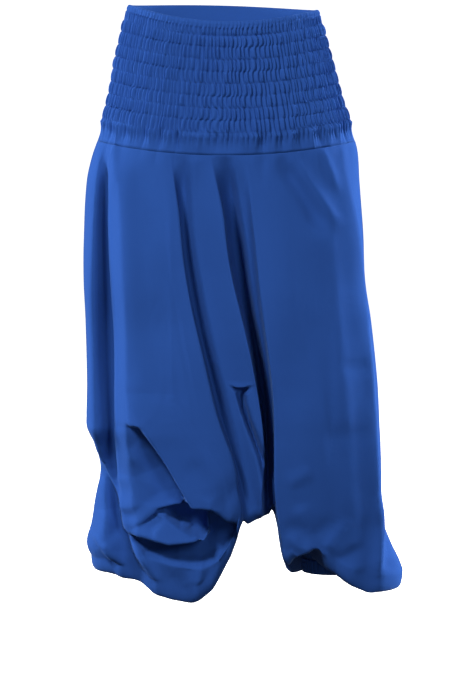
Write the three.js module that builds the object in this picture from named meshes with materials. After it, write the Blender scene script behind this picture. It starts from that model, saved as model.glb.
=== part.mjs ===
// Harem trousers as worn: a smocked waistband, a front panel and a back panel that hang from it,
// turn under at the hem and close round two gathered ankle cuffs.
import * as THREE from "three";

// Sizes in millimetres. The origin is the middle of the waist, +Z is up and the front faces -Y.
const WALL = 2;
const SEAM_GAP = 0.3;
const FULLNESS = 0.85;

// The waist ring's height above the origin at each side, and how it dips in front and rises behind.
const WAIST = { left: 14, right: 6, frontDip: 25, backRise: 6 };
// The seam between waistband and panels, at the sides and at the middle of the front and back.
const BAND_SEAM = { side: -203, frontDip: 21, backRise: 10 };

// The side seams and the depth of the plain section, level by level.
const SIDES = [
  { z: 20, left: -152, right: 146 },
  { z: -20, left: -160, right: 153 },
  { z: -77, left: -173, right: 169 },
  { z: -135, left: -184, right: 185 },
  { z: -184, left: -198, right: 202 },
  { z: -218, left: -210, right: 212.5 },
  { z: -266, left: -222, right: 216 },
  { z: -363, left: -227.5, right: 223 },
  { z: -428, left: -228, right: 226 },
  { z: -493, left: -225, right: 236 },
  { z: -590, left: -223, right: 246.5 },
  { z: -657, left: -224.5, right: 250 },
  { z: -688, left: -213, right: 252 },
  { z: -731, left: -202, right: 253.5 },
  { z: -790, left: -212, right: 254 },
  { z: -822, left: -217, right: 256 },
  { z: -857, left: -225, right: 267 },
  { z: -886, left: -212, right: 279 },
  { z: -910, left: -200, right: 284 },
  { z: -960, left: -190, right: 272 },
];
const DEPTHS = [
  { z: 20, front: 104, back: 104 },
  { z: -110, front: 122, back: 126 },
  { z: -210, front: 138, back: 148 },
  { z: -390, front: 150, back: 158 },
  { z: -612, front: 156, back: 152 },
  { z: -785, front: 148, back: 138 },
  { z: -900, front: 128, back: 118 },
  { z: -960, front: 118, back: 110 },
];

// Smocking: pinched rows as shares of the band's height, and how far the puffs between them stand out.
const GATHERS = 84;
const HEADER_SEAM = 0.05;
const SMOCK_ROWS = [0.11, 0.193, 0.287, 0.376, 0.466, 0.559, 0.648, 0.738, 0.83];
const PUFF = { ridge: 6.5, groove: 2.2, rowRidge: 1.6, header: 3.2, headerRidge: 1.4, edge: 0.4 };
// The plain strip under the last row: its rings' shares and strengths, and the two waves its pleats sum.
const STRIP = { rows: [0.885, 0.94], strengths: [1, 0.6], pleats: [42, 29], height: 1.7 };
const BAND_INSIDE = { columns: 48, rings: [0, 0.35, 0.7, 1] };
// How much more the front and back count than the sides in the direction that puffs stand out.
const OUTWARD_DEPTH = 1.3;

// Ankle cuffs: gathered elastic rings.
const CUFF = {
  radius: 46, top: -880, height: 27,
  gathers: 28, ridge: 2.4, ridgeFrom: 0.35, ridgeTo: 0.8,
  innerColumns: 24,
};
const CUFF_X = { left: -99, right: 172 };

// The line where front and back meet between the legs, from cuff to crotch to cuff.
const CROTCH = { x: 50, z: -795 };
const INSEAM = { leftReach: 50, rightReach: 36, dip: 6, topReach: 46, turnedBy: 0.3 };
// Shares of a panel's lower edge that end on the left cuff, at the crotch and on the right cuff.
const EDGE_SHARES = { leftCuff: 0.36, crotch: 0.5, rightCuff: 0.64 };

// Fold lines of the panels. x and out are given at LEVELS: the line's place across the panel, and how
// far it stands proud of the plain section. low is where it turns under, edge its share of the lower edge.
const LEVELS = [-218, -390, -612, -785, -900];
const FRONT_LINES = [
  { name: "left side", low: -903, edge: 0 },
  { name: "left hollow", x: [-197, -199, -193, -183, -146], out: [-4, -24, -30, -26, -30],
    low: -900, edge: 0.06 },
  { name: "left ridge", x: [-187, -182, -177, -165, -120], out: [4, 6, 6, 4, 0], low: -918, edge: 0.14 },
  { name: "left facet", x: [-138, -124, -102, -95, -84], out: [0, 2, 4, 4, 4], low: -934, edge: 0.24 },
  { name: "slump", x: [-119, -104, -74, -50, -54], out: [0, 2, 4, 6, 4], low: -938, edge: 0.34 },
  { name: "slump edge", x: [-101, -84, -46, -12, -24], out: [0, 2, 6, 8, -4], low: -914, edge: 0.42 },
  { name: "sack side", x: [-91, -73, -31, 12, -2], out: [0, 3, 7, 6, -12], low: -864, edge: 0.455 },
  { name: "facet edge", x: [-83, -64, -19, 29, 14], out: [0, 4, 8, 4, -10], low: -816, edge: 0.48 },
  { name: "left valley", x: [-60, -49, -3, 38, 40], out: [-8, -28, -34, -12, -14], low: -810, edge: 0.49 },
  { name: "middle ridge", x: [-28, -13, 31, 55, 56], out: [2, 2, 0, -4, -6], low: -806, edge: 0.505 },
  { name: "right valley", x: [-4, 12, 56, 69, 70], out: [-8, -33, -40, -20, -14], low: -798, edge: 0.52 },
  { name: "crotch notch", x: [13, 33, 69, 80, 83], out: [-4, -14, -24, -18, -18], low: -792, edge: 0.535 },
  { name: "leg edge", x: [32, 54, 78, 82, 104], out: [0, -2, 4, 6, 0], low: -868, edge: 0.58 },
  { name: "peek start", x: [60, 80, 104, 110, 128], out: [0, 0, 3, 6, 4], low: -862, edge: 0.63 },
  { name: "peek top", x: [90, 110, 132, 139, 152], out: [0, 2, 4, 6, 6], low: -850, edge: 0.7 },
  { name: "right facet", x: [118, 137, 158, 166, 172], out: [2, 3, 5, 6, 6], low: -890, edge: 0.78 },
  { name: "right hem", x: [152, 176, 199, 206, 208], out: [2, 4, 5, 6, 6], low: -910, edge: 0.86 },
  { name: "right ridge", x: [185, 214, 236, 241, 243], out: [2, 4, 6, 6, 8], low: -920, edge: 0.94 },
  { name: "right side", low: -908, edge: 1 },
];
const BACK_LINES = [
  { name: "left side", low: -903, edge: 0 },
  { name: "back fold 1", x: [-176, -184, -178, -170, -152], out: [0, -8, -14, -8, 0], low: -905, edge: 0.1 },
  { name: "back fold 2", x: [-130, -128, -122, -118, -112], out: [4, 8, 10, 8, 6], low: -915, edge: 0.2 },
  { name: "back fold 3", x: [-85, -82, -78, -76, -76], out: [-4, -14, -18, -10, 0], low: -920, edge: 0.29 },
  { name: "back fold 4", x: [-45, -40, -38, -40, -46], out: [4, 6, 8, 6, 4], low: -912, edge: 0.35 },
  { name: "back fold 5", x: [-15, -8, -4, -2, -12], out: [-4, -12, -20, -14, 0], low: -880, edge: 0.43 },
  { name: "back fold 6", x: [15, 22, 24, 26, 22], out: [4, 6, 6, 4, 0], low: -835, edge: 0.475 },
  { name: "back fold 7", x: [40, 48, 50, 50, 50], out: [-4, -12, -22, -18, 0], low: -815, edge: 0.5 },
  { name: "back fold 8", x: [65, 74, 76, 76, 76], out: [4, 6, 6, 4, 0], low: -830, edge: 0.53 },
  { name: "back fold 9", x: [95, 104, 106, 104, 106], out: [-4, -10, -16, -10, 0], low: -880, edge: 0.585 },
  { name: "back fold 10", x: [130, 142, 146, 146, 146], out: [4, 6, 8, 6, 4], low: -905, edge: 0.66 },
  { name: "back fold 11", x: [160, 178, 182, 184, 186], out: [-4, -10, -14, -8, 0], low: -912, edge: 0.78 },
  { name: "back fold 12", x: [186, 206, 218, 222, 226], out: [2, 4, 6, 6, 6], low: -910, edge: 0.9 },
  { name: "right side", low: -908, edge: 1 },
];

// Laps where the slumped left leg folds over itself. Each lies along a path in the front view: the cloth
// above it stands proud by rise, and below it lies back by hollow, fading out over reach.
const FRONT_LAPS = [
  { name: "knee tuck", path: [[-172, -655], [-118, -684], [-40, -800]], rise: 8, hollow: 30, reach: 44 },
  { name: "sack edge", path: [[-66, -786], [-22, -793], [22, -810]], rise: 6, hollow: 26, reach: 34 },
  { name: "ankle tuck", path: [[-158, -824], [-84, -846], [-14, -838]], rise: 12, hollow: 24, reach: 24 },
];
const LAP = { turn: 16, above: 46, fade: 0.22, easing: 1.5, samples: 16 };

// Rows of points down a panel, above and below the split, and columns from one fold line to the next.
// Below the split each panel is in two pieces that meet at the middle line, so that collision stays thin
// round the ankles. The cloth itself isn't cut there.
const FRONT_GRID = { upper: 8, lower: 14, split: 0.6, columns: [2, 2, 4, 4, 2], middle: "middle ridge" };
const BACK_GRID = { upper: 6, lower: 8, split: 0.6, columns: [2], middle: "back fold 7" };
const TURN_ROWS = 6;
// The folds reach their full depth this share of the way down from the band's seam.
const FOLD_START = 0.12;
// The turn under the hem: how far above low it starts, how far it drops past it, and how it reaches
// the edge.
const TURN = { start: 28, drop: 16, follow: 0.65, reach: 30, lift: 12, liftFollow: 0.35 };

const CLOTH = { color: 0x2a4e92, roughness: 0.72, metalness: 0 };

const lerp = (a, b, t) => a + (b - a) * t;
const clamp01 = (t) => Math.min(1, Math.max(0, t));

// Value of one column of a table at height z, on straight lines between its rows.
function atHeight(table, column, z) {
  const row = table.findIndex((entry) => entry.z <= z);
  if (row === 0) return table[0][column];
  if (row < 0) return table[table.length - 1][column];
  const [above, below] = [table[row - 1], table[row]];
  return lerp(above[column], below[column], (above.z - z) / (above.z - below.z));
}

// Value of a fold line at height z, on a smooth curve through its values at LEVELS.
function atLevel(values, z) {
  const last = LEVELS.length - 1;
  if (z >= LEVELS[0]) return values[0];
  if (z <= LEVELS[last]) return values[last];
  const i = LEVELS.findIndex((level) => level < z) - 1;
  const slope = (k) => {
    const [a, b] = [Math.max(0, k - 1), Math.min(last, k + 1)];
    return (values[b] - values[a]) / (LEVELS[b] - LEVELS[a]);
  };
  const span = LEVELS[i + 1] - LEVELS[i];
  const t = (z - LEVELS[i]) / span;
  const [t2, t3] = [t * t, t * t * t];
  return (2 * t3 - 3 * t2 + 1) * values[i] + (t3 - 2 * t2 + t) * span * slope(i)
    + (3 * t2 - 2 * t3) * values[i + 1] + (t3 - t2) * span * slope(i + 1);
}

// How far round the section a place across it is: 0 at the side seams, 1 at the middle.
const roundness = (share) => 2 * Math.sqrt(clamp01(share) * (1 - clamp01(share)));

// Point of the plain section at height z, at a share of the width, on the front or the back.
function sectionPoint(face, share, z, out) {
  const [left, right] = [atHeight(SIDES, "left", z), atHeight(SIDES, "right", z)];
  const round = roundness(share);
  const depth = atHeight(DEPTHS, face, z) * round ** FULLNESS;
  const middle = (left + right) / 2;
  const sign = face === "front" ? -1 : 1;
  const x = lerp(left, right, share);
  const sideways = (x - middle) / ((right - left) / 2);
  return new THREE.Vector3(x + out * sideways * (1 - round), sign * (depth + out * round + SEAM_GAP / 2), z);
}

// Height of the waist ring and of the band's lower seam, at a share of the width.
function waistHeight(face, share) {
  const side = lerp(WAIST.left, WAIST.right, share);
  const middle = face === "front" ? -WAIST.frontDip : WAIST.backRise;
  return side + middle * roundness(share) ** 2;
}
function seamHeight(face, share) {
  const middle = face === "front" ? -BAND_SEAM.frontDip : BAND_SEAM.backRise;
  return BAND_SEAM.side + middle * roundness(share) ** 2;
}

// One closed mesh from its points and faces, with its faces pointing outwards.
function closedMesh(name, points, faces) {
  const geometry = new THREE.BufferGeometry();
  const places = points.flatMap((p) => [p.x, p.y, p.z]);
  geometry.setAttribute("position", new THREE.Float32BufferAttribute(places, 3));
  let volume = 0;
  for (const [a, b, c] of faces) volume += points[a].dot(points[b].clone().cross(points[c]));
  geometry.setIndex(volume > 0 ? faces.flat() : faces.flatMap(([a, b, c]) => [a, c, b]));
  geometry.computeVertexNormals();
  const mesh = new THREE.Mesh(geometry, new THREE.MeshStandardMaterial(CLOTH));
  mesh.name = name;
  return mesh;
}

// Triangles between two closed rings of points, which may have different counts.
function ringStrip(faces, first, firstCount, second, secondCount) {
  let [i, j] = [0, 0];
  while (i < firstCount || j < secondCount) {
    const a = first + (i % firstCount);
    const b = second + (j % secondCount);
    if ((i + 1) / firstCount <= (j + 1) / secondCount && i < firstCount) {
      faces.push([a, first + ((i + 1) % firstCount), b]);
      i += 1;
    } else {
      faces.push([a, second + ((j + 1) % secondCount), b]);
      j += 1;
    }
  }
}

// A tube whose outer rings are raised and whose inner rings are plain. Each ring is a list of points.
function tube(name, outerRings, innerRings) {
  const points = [...outerRings.flat(), ...innerRings.flat()];
  const faces = [];
  const outerCount = outerRings[0].length;
  const innerCount = innerRings[0].length;
  const innerStart = outerRings.length * outerCount;
  const outerAt = (r) => r * outerCount;
  const innerAt = (r) => innerStart + r * innerCount;
  for (let r = 0; r + 1 < outerRings.length; r += 1) {
    ringStrip(faces, outerAt(r), outerCount, outerAt(r + 1), outerCount);
  }
  ringStrip(faces, outerAt(outerRings.length - 1), outerCount, innerAt(innerRings.length - 1), innerCount);
  for (let r = innerRings.length - 1; r > 0; r -= 1) {
    ringStrip(faces, innerAt(r), innerCount, innerAt(r - 1), innerCount);
  }
  ringStrip(faces, innerAt(0), innerCount, outerAt(0), outerCount);
  return closedMesh(name, points, faces);
}

// Point of the waistband's ring: turn goes once round from the left side, over the front.
function bandPoint(turn, down, out) {
  const face = turn < 0.5 ? "front" : "back";
  const half = face === "front" ? turn * 2 : 2 - turn * 2;
  const share = (1 - Math.cos(Math.PI * half)) / 2;
  const bottom = seamHeight(face, share) + SEAM_GAP;
  const z = lerp(waistHeight(face, share), bottom, down);
  const plain = sectionPoint(face, share, z, 0);
  const middle = (atHeight(SIDES, "left", z) + atHeight(SIDES, "right", z)) / 2;
  const outward = new THREE.Vector3(plain.x - middle, plain.y * OUTWARD_DEPTH, 0).normalize();
  return plain.addScaledVector(outward, out);
}

// The smocked band: a header, nine pinched rows with puffed gathers between them, and a plain strip.
function waistband() {
  const count = GATHERS * 2;
  const turnOf = (k) => (k / count) * 2 * Math.PI;
  const steps = Array.from({ length: count }, (_, k) => k);
  const ring = (down, height) => steps.map((k) => bandPoint(k / count, down, height(k)));
  const gathered = (ridge, groove, shift) => (k) => ((k + shift) % 2 ? ridge : groove);
  const pleated = (strength) => (k) => {
    const wave = STRIP.pleats.reduce((sum, pleats, index) => sum + Math.sin(turnOf(k) * pleats + index), 0);
    return strength * Math.max(0, wave) * STRIP.height;
  };
  const outer = [
    ring(0, () => PUFF.edge),
    ring(HEADER_SEAM / 2, () => PUFF.header),
    ring(HEADER_SEAM, gathered(PUFF.headerRidge, 0, 0)),
  ];
  let above = HEADER_SEAM;
  SMOCK_ROWS.forEach((row, index) => {
    outer.push(ring((above + row) / 2, gathered(PUFF.ridge, PUFF.groove, index)));
    outer.push(ring(row, gathered(PUFF.rowRidge, 0, index)));
    above = row;
  });
  STRIP.rows.forEach((row, index) => outer.push(ring(row, pleated(STRIP.strengths[index]))));
  outer.push(ring(1, () => 0));
  const columns = Array.from({ length: BAND_INSIDE.columns }, (_, k) => k / BAND_INSIDE.columns);
  const inner = BAND_INSIDE.rings.map((down) => columns.map((turn) => bandPoint(turn, down, -WALL)));
  return tube("waistband", outer, inner);
}

// An elastic ring at the ankle, gathered on the outside.
function ankleCuff(name, centreX) {
  const ring = (count, z, radius) => Array.from({ length: count }, (_, k) => {
    const angle = (k / count) * 2 * Math.PI;
    return new THREE.Vector3(centreX + radius(k) * Math.cos(angle), radius(k) * Math.sin(angle), z);
  });
  const count = CUFF.gathers * 2;
  const gathered = (amount) => (k) => CUFF.radius + (k % 2 ? amount : 0);
  const bottom = CUFF.top - CUFF.height;
  const outer = [
    ring(count, CUFF.top, gathered(0)),
    ring(count, CUFF.top - CUFF.height * CUFF.ridgeFrom, gathered(CUFF.ridge)),
    ring(count, CUFF.top - CUFF.height * CUFF.ridgeTo, gathered(CUFF.ridge)),
    ring(count, bottom, gathered(0)),
  ];
  const inside = (z) => ring(CUFF.innerColumns, z, () => CUFF.radius - WALL);
  return tube(name, outer, [inside(CUFF.top), inside(bottom)]);
}

// Point of the panels' lower edge at a share of it, with the way the cloth arrives there and the
// way its outside faces.
function lowerEdge(face, share) {
  const sign = face === "front" ? -1 : 1;
  const reach = CUFF.radius - WALL;
  const { leftCuff, crotch, rightCuff } = EDGE_SHARES;
  const z = CUFF.top + SEAM_GAP;
  const onCuff = (centreX, angle, arrive) => ({
    point: new THREE.Vector3(
      centreX + reach * Math.cos(angle),
      sign * (reach * Math.sin(angle) + SEAM_GAP / 2),
      z,
    ),
    arrive: new THREE.Vector3(Math.cos(arrive), sign * Math.sin(arrive), 0),
    facing: new THREE.Vector3(0, 0, -1),
  });
  if (share <= leftCuff) {
    const angle = Math.PI * (1 - share / leftCuff);
    return onCuff(CUFF_X.left, angle, Math.max(angle, Math.PI / 4));
  }
  if (share >= rightCuff) {
    const angle = Math.PI * (1 - (share - rightCuff) / (1 - rightCuff));
    return onCuff(CUFF_X.right, angle, Math.min(angle, Math.PI * 0.75));
  }
  const toLeft = share < crotch;
  const side = toLeft ? 1 : -1;
  const start = (toLeft ? CUFF_X.left : CUFF_X.right) + side * reach;
  const footReach = toLeft ? INSEAM.leftReach : INSEAM.rightReach;
  const t = toLeft ? (share - leftCuff) / (crotch - leftCuff) : (rightCuff - share) / (rightCuff - crotch);
  const curve = new THREE.CubicBezierCurve(
    new THREE.Vector2(start, z),
    new THREE.Vector2(start + side * footReach, z - INSEAM.dip),
    new THREE.Vector2(CROTCH.x - side * INSEAM.topReach, CROTCH.z),
    new THREE.Vector2(CROTCH.x, CROTCH.z),
  );
  const at = curve.getPoint(t);
  const along = curve.getTangent(t);
  const turn = Math.PI / 4 * (1 + clamp01(t / INSEAM.turnedBy));
  return {
    point: new THREE.Vector3(at.x, sign * SEAM_GAP / 2, at.y),
    arrive: new THREE.Vector3(side * Math.cos(turn), sign * Math.sin(turn), 0),
    facing: new THREE.Vector3(side * along.y, 0, -side * along.x).normalize(),
  };
}

// How far a lap moves a point of the front view: proud above its path, lying back below it.
function lapOut(lap, x, z) {
  const [from, via, to] = lap.path.map(([px, pz]) => new THREE.Vector2(px, pz));
  const control = via.clone().multiplyScalar(2).addScaledVector(from, -0.5).addScaledVector(to, -0.5);
  const curve = new THREE.QuadraticBezierCurve(from, control, to);
  const point = new THREE.Vector2(x, z);
  let [best, nearest, at] = [Infinity, null, 0];
  for (let k = 0; k <= LAP.samples; k += 1) {
    const candidate = curve.getPoint(k / LAP.samples);
    const distance = candidate.distanceTo(point);
    if (distance < best) [best, nearest, at] = [distance, candidate, k / LAP.samples];
  }
  const tangent = curve.getTangent(at);
  const away = point.clone().sub(nearest);
  const below = -(tangent.x * away.y - tangent.y * away.x);
  const beyond = Math.abs(tangent.dot(away));
  const fade = clamp01(at / LAP.fade) * clamp01((1 - at) / LAP.fade) * clamp01(1 - beyond / lap.reach);
  if (below < 0) return fade * lap.rise * clamp01(1 + below / LAP.above) ** LAP.easing;
  const turned = clamp01(below / LAP.turn);
  const settle = clamp01((below - LAP.turn) / lap.reach);
  return fade * lerp(lap.rise, -lap.hollow, turned) * (1 - settle) ** LAP.easing;
}

// The value of one fold line, or between two, at height z.
function lineValue(lines, key, at, z) {
  const i = Math.min(Math.floor(at), lines.length - 2);
  const value = (line) => {
    if (line[key]) return atLevel(line[key], z);
    return key === "out" ? 0 : atHeight(SIDES, line.edge === 0 ? "left" : "right", z);
  };
  let t = at - i;
  if (key === "x" && i === 0) t = t ** 2;
  if (key === "x" && i === lines.length - 2) t = 1 - (1 - t) ** 2;
  return lerp(value(lines[i]), value(lines[i + 1]), t);
}

// One column of a panel: it hangs from the band's seam, then turns under to the lower edge.
function panelColumn(face, lines, grid, at) {
  const i = Math.min(Math.floor(at), lines.length - 2);
  const low = lerp(lines[i].low, lines[i + 1].low, at - i);
  const edge = lowerEdge(face, lerp(lines[i].edge, lines[i + 1].edge, at - i));
  const acrossAt = (z) => {
    const [left, right] = [atHeight(SIDES, "left", z), atHeight(SIDES, "right", z)];
    return clamp01((lineValue(lines, "x", at, z) - left) / (right - left));
  };
  const placeAt = (z, share) => {
    const x = lineValue(lines, "x", at, z);
    const laps = face === "front" ? FRONT_LAPS.reduce((sum, lap) => sum + lapOut(lap, x, z), 0) : 0;
    const out = (lineValue(lines, "out", at, z) + laps) * clamp01(share / FOLD_START);
    return sectionPoint(face, acrossAt(z), z, out);
  };
  let top = BAND_SEAM.side;
  for (let k = 0; k < 4; k += 1) top = seamHeight(face, acrossAt(top));
  const column = [];
  const hangEnd = low + TURN.start;
  for (let r = 0; r <= grid.upper + grid.lower; r += 1) {
    const past = r - grid.upper;
    const share = past < 0 ? (r / grid.upper) * grid.split : lerp(grid.split, 1, past / grid.lower);
    column.push(placeAt(lerp(top, hangEnd, share), share));
  }
  const start = column[column.length - 1];
  const rise = Math.max(0, edge.point.z - low);
  const under = start.clone().setZ(low - TURN.drop - TURN.follow * rise);
  const arrival = edge.point.clone().addScaledVector(edge.arrive, TURN.reach);
  if (edge.facing.z < -0.999) arrival.z += TURN.lift + TURN.liftFollow * rise;
  const curve = new THREE.CubicBezierCurve3(start, under, arrival, edge.point);
  for (let r = 1; r <= TURN_ROWS; r += 1) column.push(curve.getPoint(r / TURN_ROWS));
  return { points: column, facing: edge.facing };
}

// The wall of a panel: its outer points, and the same points moved in by its thickness.
function panelWall(face, lines, grid) {
  const places = [];
  let middle = 0;
  for (let i = 0; i + 1 < lines.length; i += 1) {
    const steps = grid.columns[Math.min(i, grid.columns.length - 1)];
    if (lines[i].name === grid.middle) middle = places.length;
    for (let k = 0; k < steps; k += 1) places.push(i + k / steps);
  }
  places.push(lines.length - 1);
  const count = places.length;
  const columns = places.map((at) => panelColumn(face, lines, grid, at));
  const rows = columns[0].points.length;
  const within = (index, length) => Math.min(length - 1, Math.max(0, index));
  const outer = (c, r) => columns[within(c, count)].points[within(r, rows)];
  const inner = (c, r) => {
    const across = outer(c + 1, r).clone().sub(outer(c - 1, r));
    const down = outer(c, r + 1).clone().sub(outer(c, r - 1));
    const facing = across.cross(down).multiplyScalar(face === "front" ? -1 : 1);
    if (r === rows - 1) facing.copy(columns[c].facing);
    if (c === 0 || c === count - 1) facing.setY(0);
    if (r === 0) facing.setZ(0);
    return outer(c, r).clone().addScaledVector(facing.normalize(), -WALL);
  };
  return { outer, inner, lastColumn: count - 1, lastRow: rows - 1, middle };
}

// A piece of a panel's wall between two of its columns and two of its rows. Where it ends at a cut and
// not at the panel's own border, it keeps half a seam gap from the next piece.
function panelPiece(name, wall, [left, right], [top, bottom]) {
  const drawn = (side, c, r, c2, r2) => {
    const point = side(c, r).clone();
    const next = side(c2, r2);
    return point.lerp(next, Math.min(0.5, SEAM_GAP / 2 / point.distanceTo(next)));
  };
  const place = (side, c, r) => {
    const point = side(c, r).clone();
    const towards = [];
    if (r === bottom && bottom < wall.lastRow) towards.push([c, r - 1]);
    if (r === top && top > 0) towards.push([c, r + 1]);
    if (c === left && left > 0) towards.push([c + 1, r]);
    if (c === right && right < wall.lastColumn) towards.push([c - 1, r]);
    for (const [c2, r2] of towards) point.add(drawn(side, c, r, c2, r2).sub(side(c, r)));
    return point;
  };
  const rows = bottom - top + 1;
  const count = right - left + 1;
  const points = [];
  for (const side of [wall.outer, wall.inner]) {
    for (let c = left; c <= right; c += 1) {
      for (let r = top; r <= bottom; r += 1) points.push(place(side, c, r));
    }
  }
  const inner = count * rows;
  const faces = [];
  const quad = (a, b, c, d) => faces.push([a, b, c], [a, c, d]);
  for (let c = 0; c + 1 < count; c += 1) {
    for (let r = 0; r + 1 < rows; r += 1) {
      const [a, b] = [c * rows + r, (c + 1) * rows + r];
      quad(a, b, b + 1, a + 1);
      quad(inner + a, inner + a + 1, inner + b + 1, inner + b);
    }
    const [first, second] = [c * rows, (c + 1) * rows];
    quad(first, inner + first, inner + second, second);
    const end = rows - 1;
    quad(first + end, second + end, inner + second + end, inner + first + end);
  }
  for (let r = 0; r + 1 < rows; r += 1) {
    const last = (count - 1) * rows + r;
    quad(r, r + 1, inner + r + 1, inner + r);
    quad(last, inner + last, inner + last + 1, last + 1);
  }
  return closedMesh(name, points, faces);
}

// A panel's three pieces: the wide upper part and the lower part of each leg.
function panelPieces(face, lines, grid) {
  const wall = panelWall(face, lines, grid);
  const whole = [0, wall.lastColumn];
  const below = [grid.upper, wall.lastRow];
  return [
    panelPiece(`${face}_panel`, wall, whole, [0, grid.upper]),
    panelPiece(`${face}_leg_left`, wall, [0, wall.middle], below),
    panelPiece(`${face}_leg_right`, wall, [wall.middle, wall.lastColumn], below),
  ];
}

const trousers = new THREE.Group();
trousers.add(waistband());
trousers.add(...panelPieces("front", FRONT_LINES, FRONT_GRID));
trousers.add(...panelPieces("back", BACK_LINES, BACK_GRID));
trousers.add(ankleCuff("ankle_cuff_left", CUFF_X.left));
trousers.add(ankleCuff("ankle_cuff_right", CUFF_X.right));

export default trousers;
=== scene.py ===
import math

import bpy
import numpy as np
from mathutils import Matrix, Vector
from mathutils.geometry import delaunay_2d_cdt


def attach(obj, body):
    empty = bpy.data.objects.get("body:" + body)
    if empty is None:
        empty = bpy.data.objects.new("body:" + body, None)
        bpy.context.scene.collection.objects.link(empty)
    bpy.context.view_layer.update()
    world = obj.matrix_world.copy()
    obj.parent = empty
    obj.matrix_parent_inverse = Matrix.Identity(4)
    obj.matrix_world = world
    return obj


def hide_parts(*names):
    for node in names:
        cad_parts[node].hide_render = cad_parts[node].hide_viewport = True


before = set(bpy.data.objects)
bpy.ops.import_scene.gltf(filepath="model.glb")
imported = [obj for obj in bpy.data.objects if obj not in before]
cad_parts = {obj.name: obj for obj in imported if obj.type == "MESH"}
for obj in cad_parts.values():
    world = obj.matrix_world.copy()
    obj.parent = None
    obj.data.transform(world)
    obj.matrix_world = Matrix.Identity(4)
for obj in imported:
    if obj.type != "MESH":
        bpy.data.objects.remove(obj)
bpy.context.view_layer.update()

# The view: a photographer's long lens at waist height, a little above the garment's middle.
# Sizes here are metres. The photograph is 458 x 687 pixels, upright.
PHOTO_HEIGHT_PX = 687
MM_PER_PX = 1.62
CAMERA_AWAY = 4.5
CAMERA_AT = (0.0065, -CAMERA_AWAY, -0.130)
AIM_HEIGHT = -0.531
SENSOR_HEIGHT_MM = 36.0
VIEW_END = 60.0

camera_data = bpy.data.cameras.new("camera")
camera = bpy.data.objects.new("camera", camera_data)
bpy.context.scene.collection.objects.link(camera)
aim_drop = CAMERA_AT[2] - AIM_HEIGHT
aim_distance = math.hypot(CAMERA_AWAY, aim_drop)
camera.location = CAMERA_AT
camera.rotation_euler = (math.pi / 2 - math.atan2(aim_drop, CAMERA_AWAY), 0.0, 0.0)
camera_data.sensor_fit = "VERTICAL"
camera_data.sensor_height = SENSOR_HEIGHT_MM
camera_data.lens = SENSOR_HEIGHT_MM * aim_distance * 1000 / (MM_PER_PX * PHOTO_HEIGHT_PX)
camera_data.clip_end = VIEW_END
bpy.context.scene.camera = camera

# The studio: white paper that runs back under the garment and up behind it, glowing but lighting nothing,
# and soft boxes in front, at both sides and near the floor.
FLOOR_HEIGHT = -1.030
SWEEP = {"half width": 9.0, "front": -7.0, "bend": 9.0, "radius": 1.2, "top": 7.0, "bend steps": 16}
SOFT_BOXES = [
    {"name": "key", "at": (-1.7, -2.7, 2.4), "aim": (0.0, 0.0, -0.45), "size": (0.9, 0.9), "power": 168},
    {"name": "fill", "at": (1.6, -3.6, 0.7), "aim": (0.0, 0.0, -0.5), "size": (1.0, 1.0), "power": 52},
    {"name": "side left", "at": (-3.0, 0.8, 0.2), "aim": (0.0, 0.0, -0.5), "size": (0.8, 1.6), "power": 175},
    {"name": "side right", "at": (2.8, 1.2, 0.1), "aim": (0.1, 0.0, -0.6), "size": (0.8, 1.6), "power": 270},
    {"name": "floor bounce", "at": (0.3, -1.9, -0.95), "aim": (0.05, 0.0, -0.8), "size": (1.4, 0.3),
     "power": 3},
]


def aim_rotation(at, aim):
    """Turns a light's -Z axis from where it hangs towards what it lights."""
    away = np.subtract(aim, at)
    flat = math.hypot(away[0], away[1])
    return (math.atan2(flat, -away[2]), 0.0, math.atan2(-away[0], away[1]))


for box in SOFT_BOXES:
    light_data = bpy.data.lights.new(box["name"], "AREA")
    light_data.shape = "RECTANGLE"
    light_data.size, light_data.size_y = box["size"]
    light_data.energy = box["power"]
    light = bpy.data.objects.new(box["name"], light_data)
    light.location = box["at"]
    light.rotation_euler = aim_rotation(box["at"], box["aim"])
    light.visible_glossy = False
    bpy.context.scene.collection.objects.link(light)

world = bpy.data.worlds.new("studio")
world.use_nodes = True
world.node_tree.nodes["Background"].inputs["Color"].default_value = (1.0, 1.0, 1.0, 1.0)
world.node_tree.nodes["Background"].inputs["Strength"].default_value = 0.06
bpy.context.scene.world = world
bpy.context.scene.view_settings.view_transform = "Standard"

bend = np.linspace(0, math.pi / 2, SWEEP["bend steps"])
sweep_y = np.concatenate([[SWEEP["front"]], SWEEP["bend"] + SWEEP["radius"] * np.sin(bend),
                          [SWEEP["bend"] + SWEEP["radius"]]])
sweep_z = np.concatenate([[0.0], SWEEP["radius"] * (1 - np.cos(bend)), [SWEEP["top"]]]) + FLOOR_HEIGHT
sweep_points = [(side * SWEEP["half width"], y, z) for y, z in zip(sweep_y, sweep_z) for side in (-1, 1)]
sweep_mesh = bpy.data.meshes.new("paper_sweep")
sweep_faces = [(2 * k, 2 * k + 1, 2 * k + 3, 2 * k + 2) for k in range(len(sweep_y) - 1)]
sweep_mesh.from_pydata(sweep_points, [], sweep_faces)
sweep_mesh.polygons.foreach_set("use_smooth", [True] * len(sweep_faces))
sweep = bpy.data.objects.new("paper_sweep", sweep_mesh)
sweep_paint = bpy.data.materials.new("white paper")
sweep_paint.use_nodes = True
sweep_shader = sweep_paint.node_tree.nodes["Principled BSDF"]
sweep_shader.inputs["Base Color"].default_value = (0.9, 0.9, 0.9, 1.0)
sweep_shader.inputs["Roughness"].default_value = 0.9
sweep_shader.inputs["Emission Color"].default_value = (1.0, 1.0, 1.0, 1.0)
sweep_shader.inputs["Emission Strength"].default_value = 1.0
sweep_mesh.materials.append(sweep_paint)
sweep.visible_diffuse = False
sweep.visible_glossy = False
bpy.context.scene.collection.objects.link(sweep)

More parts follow.
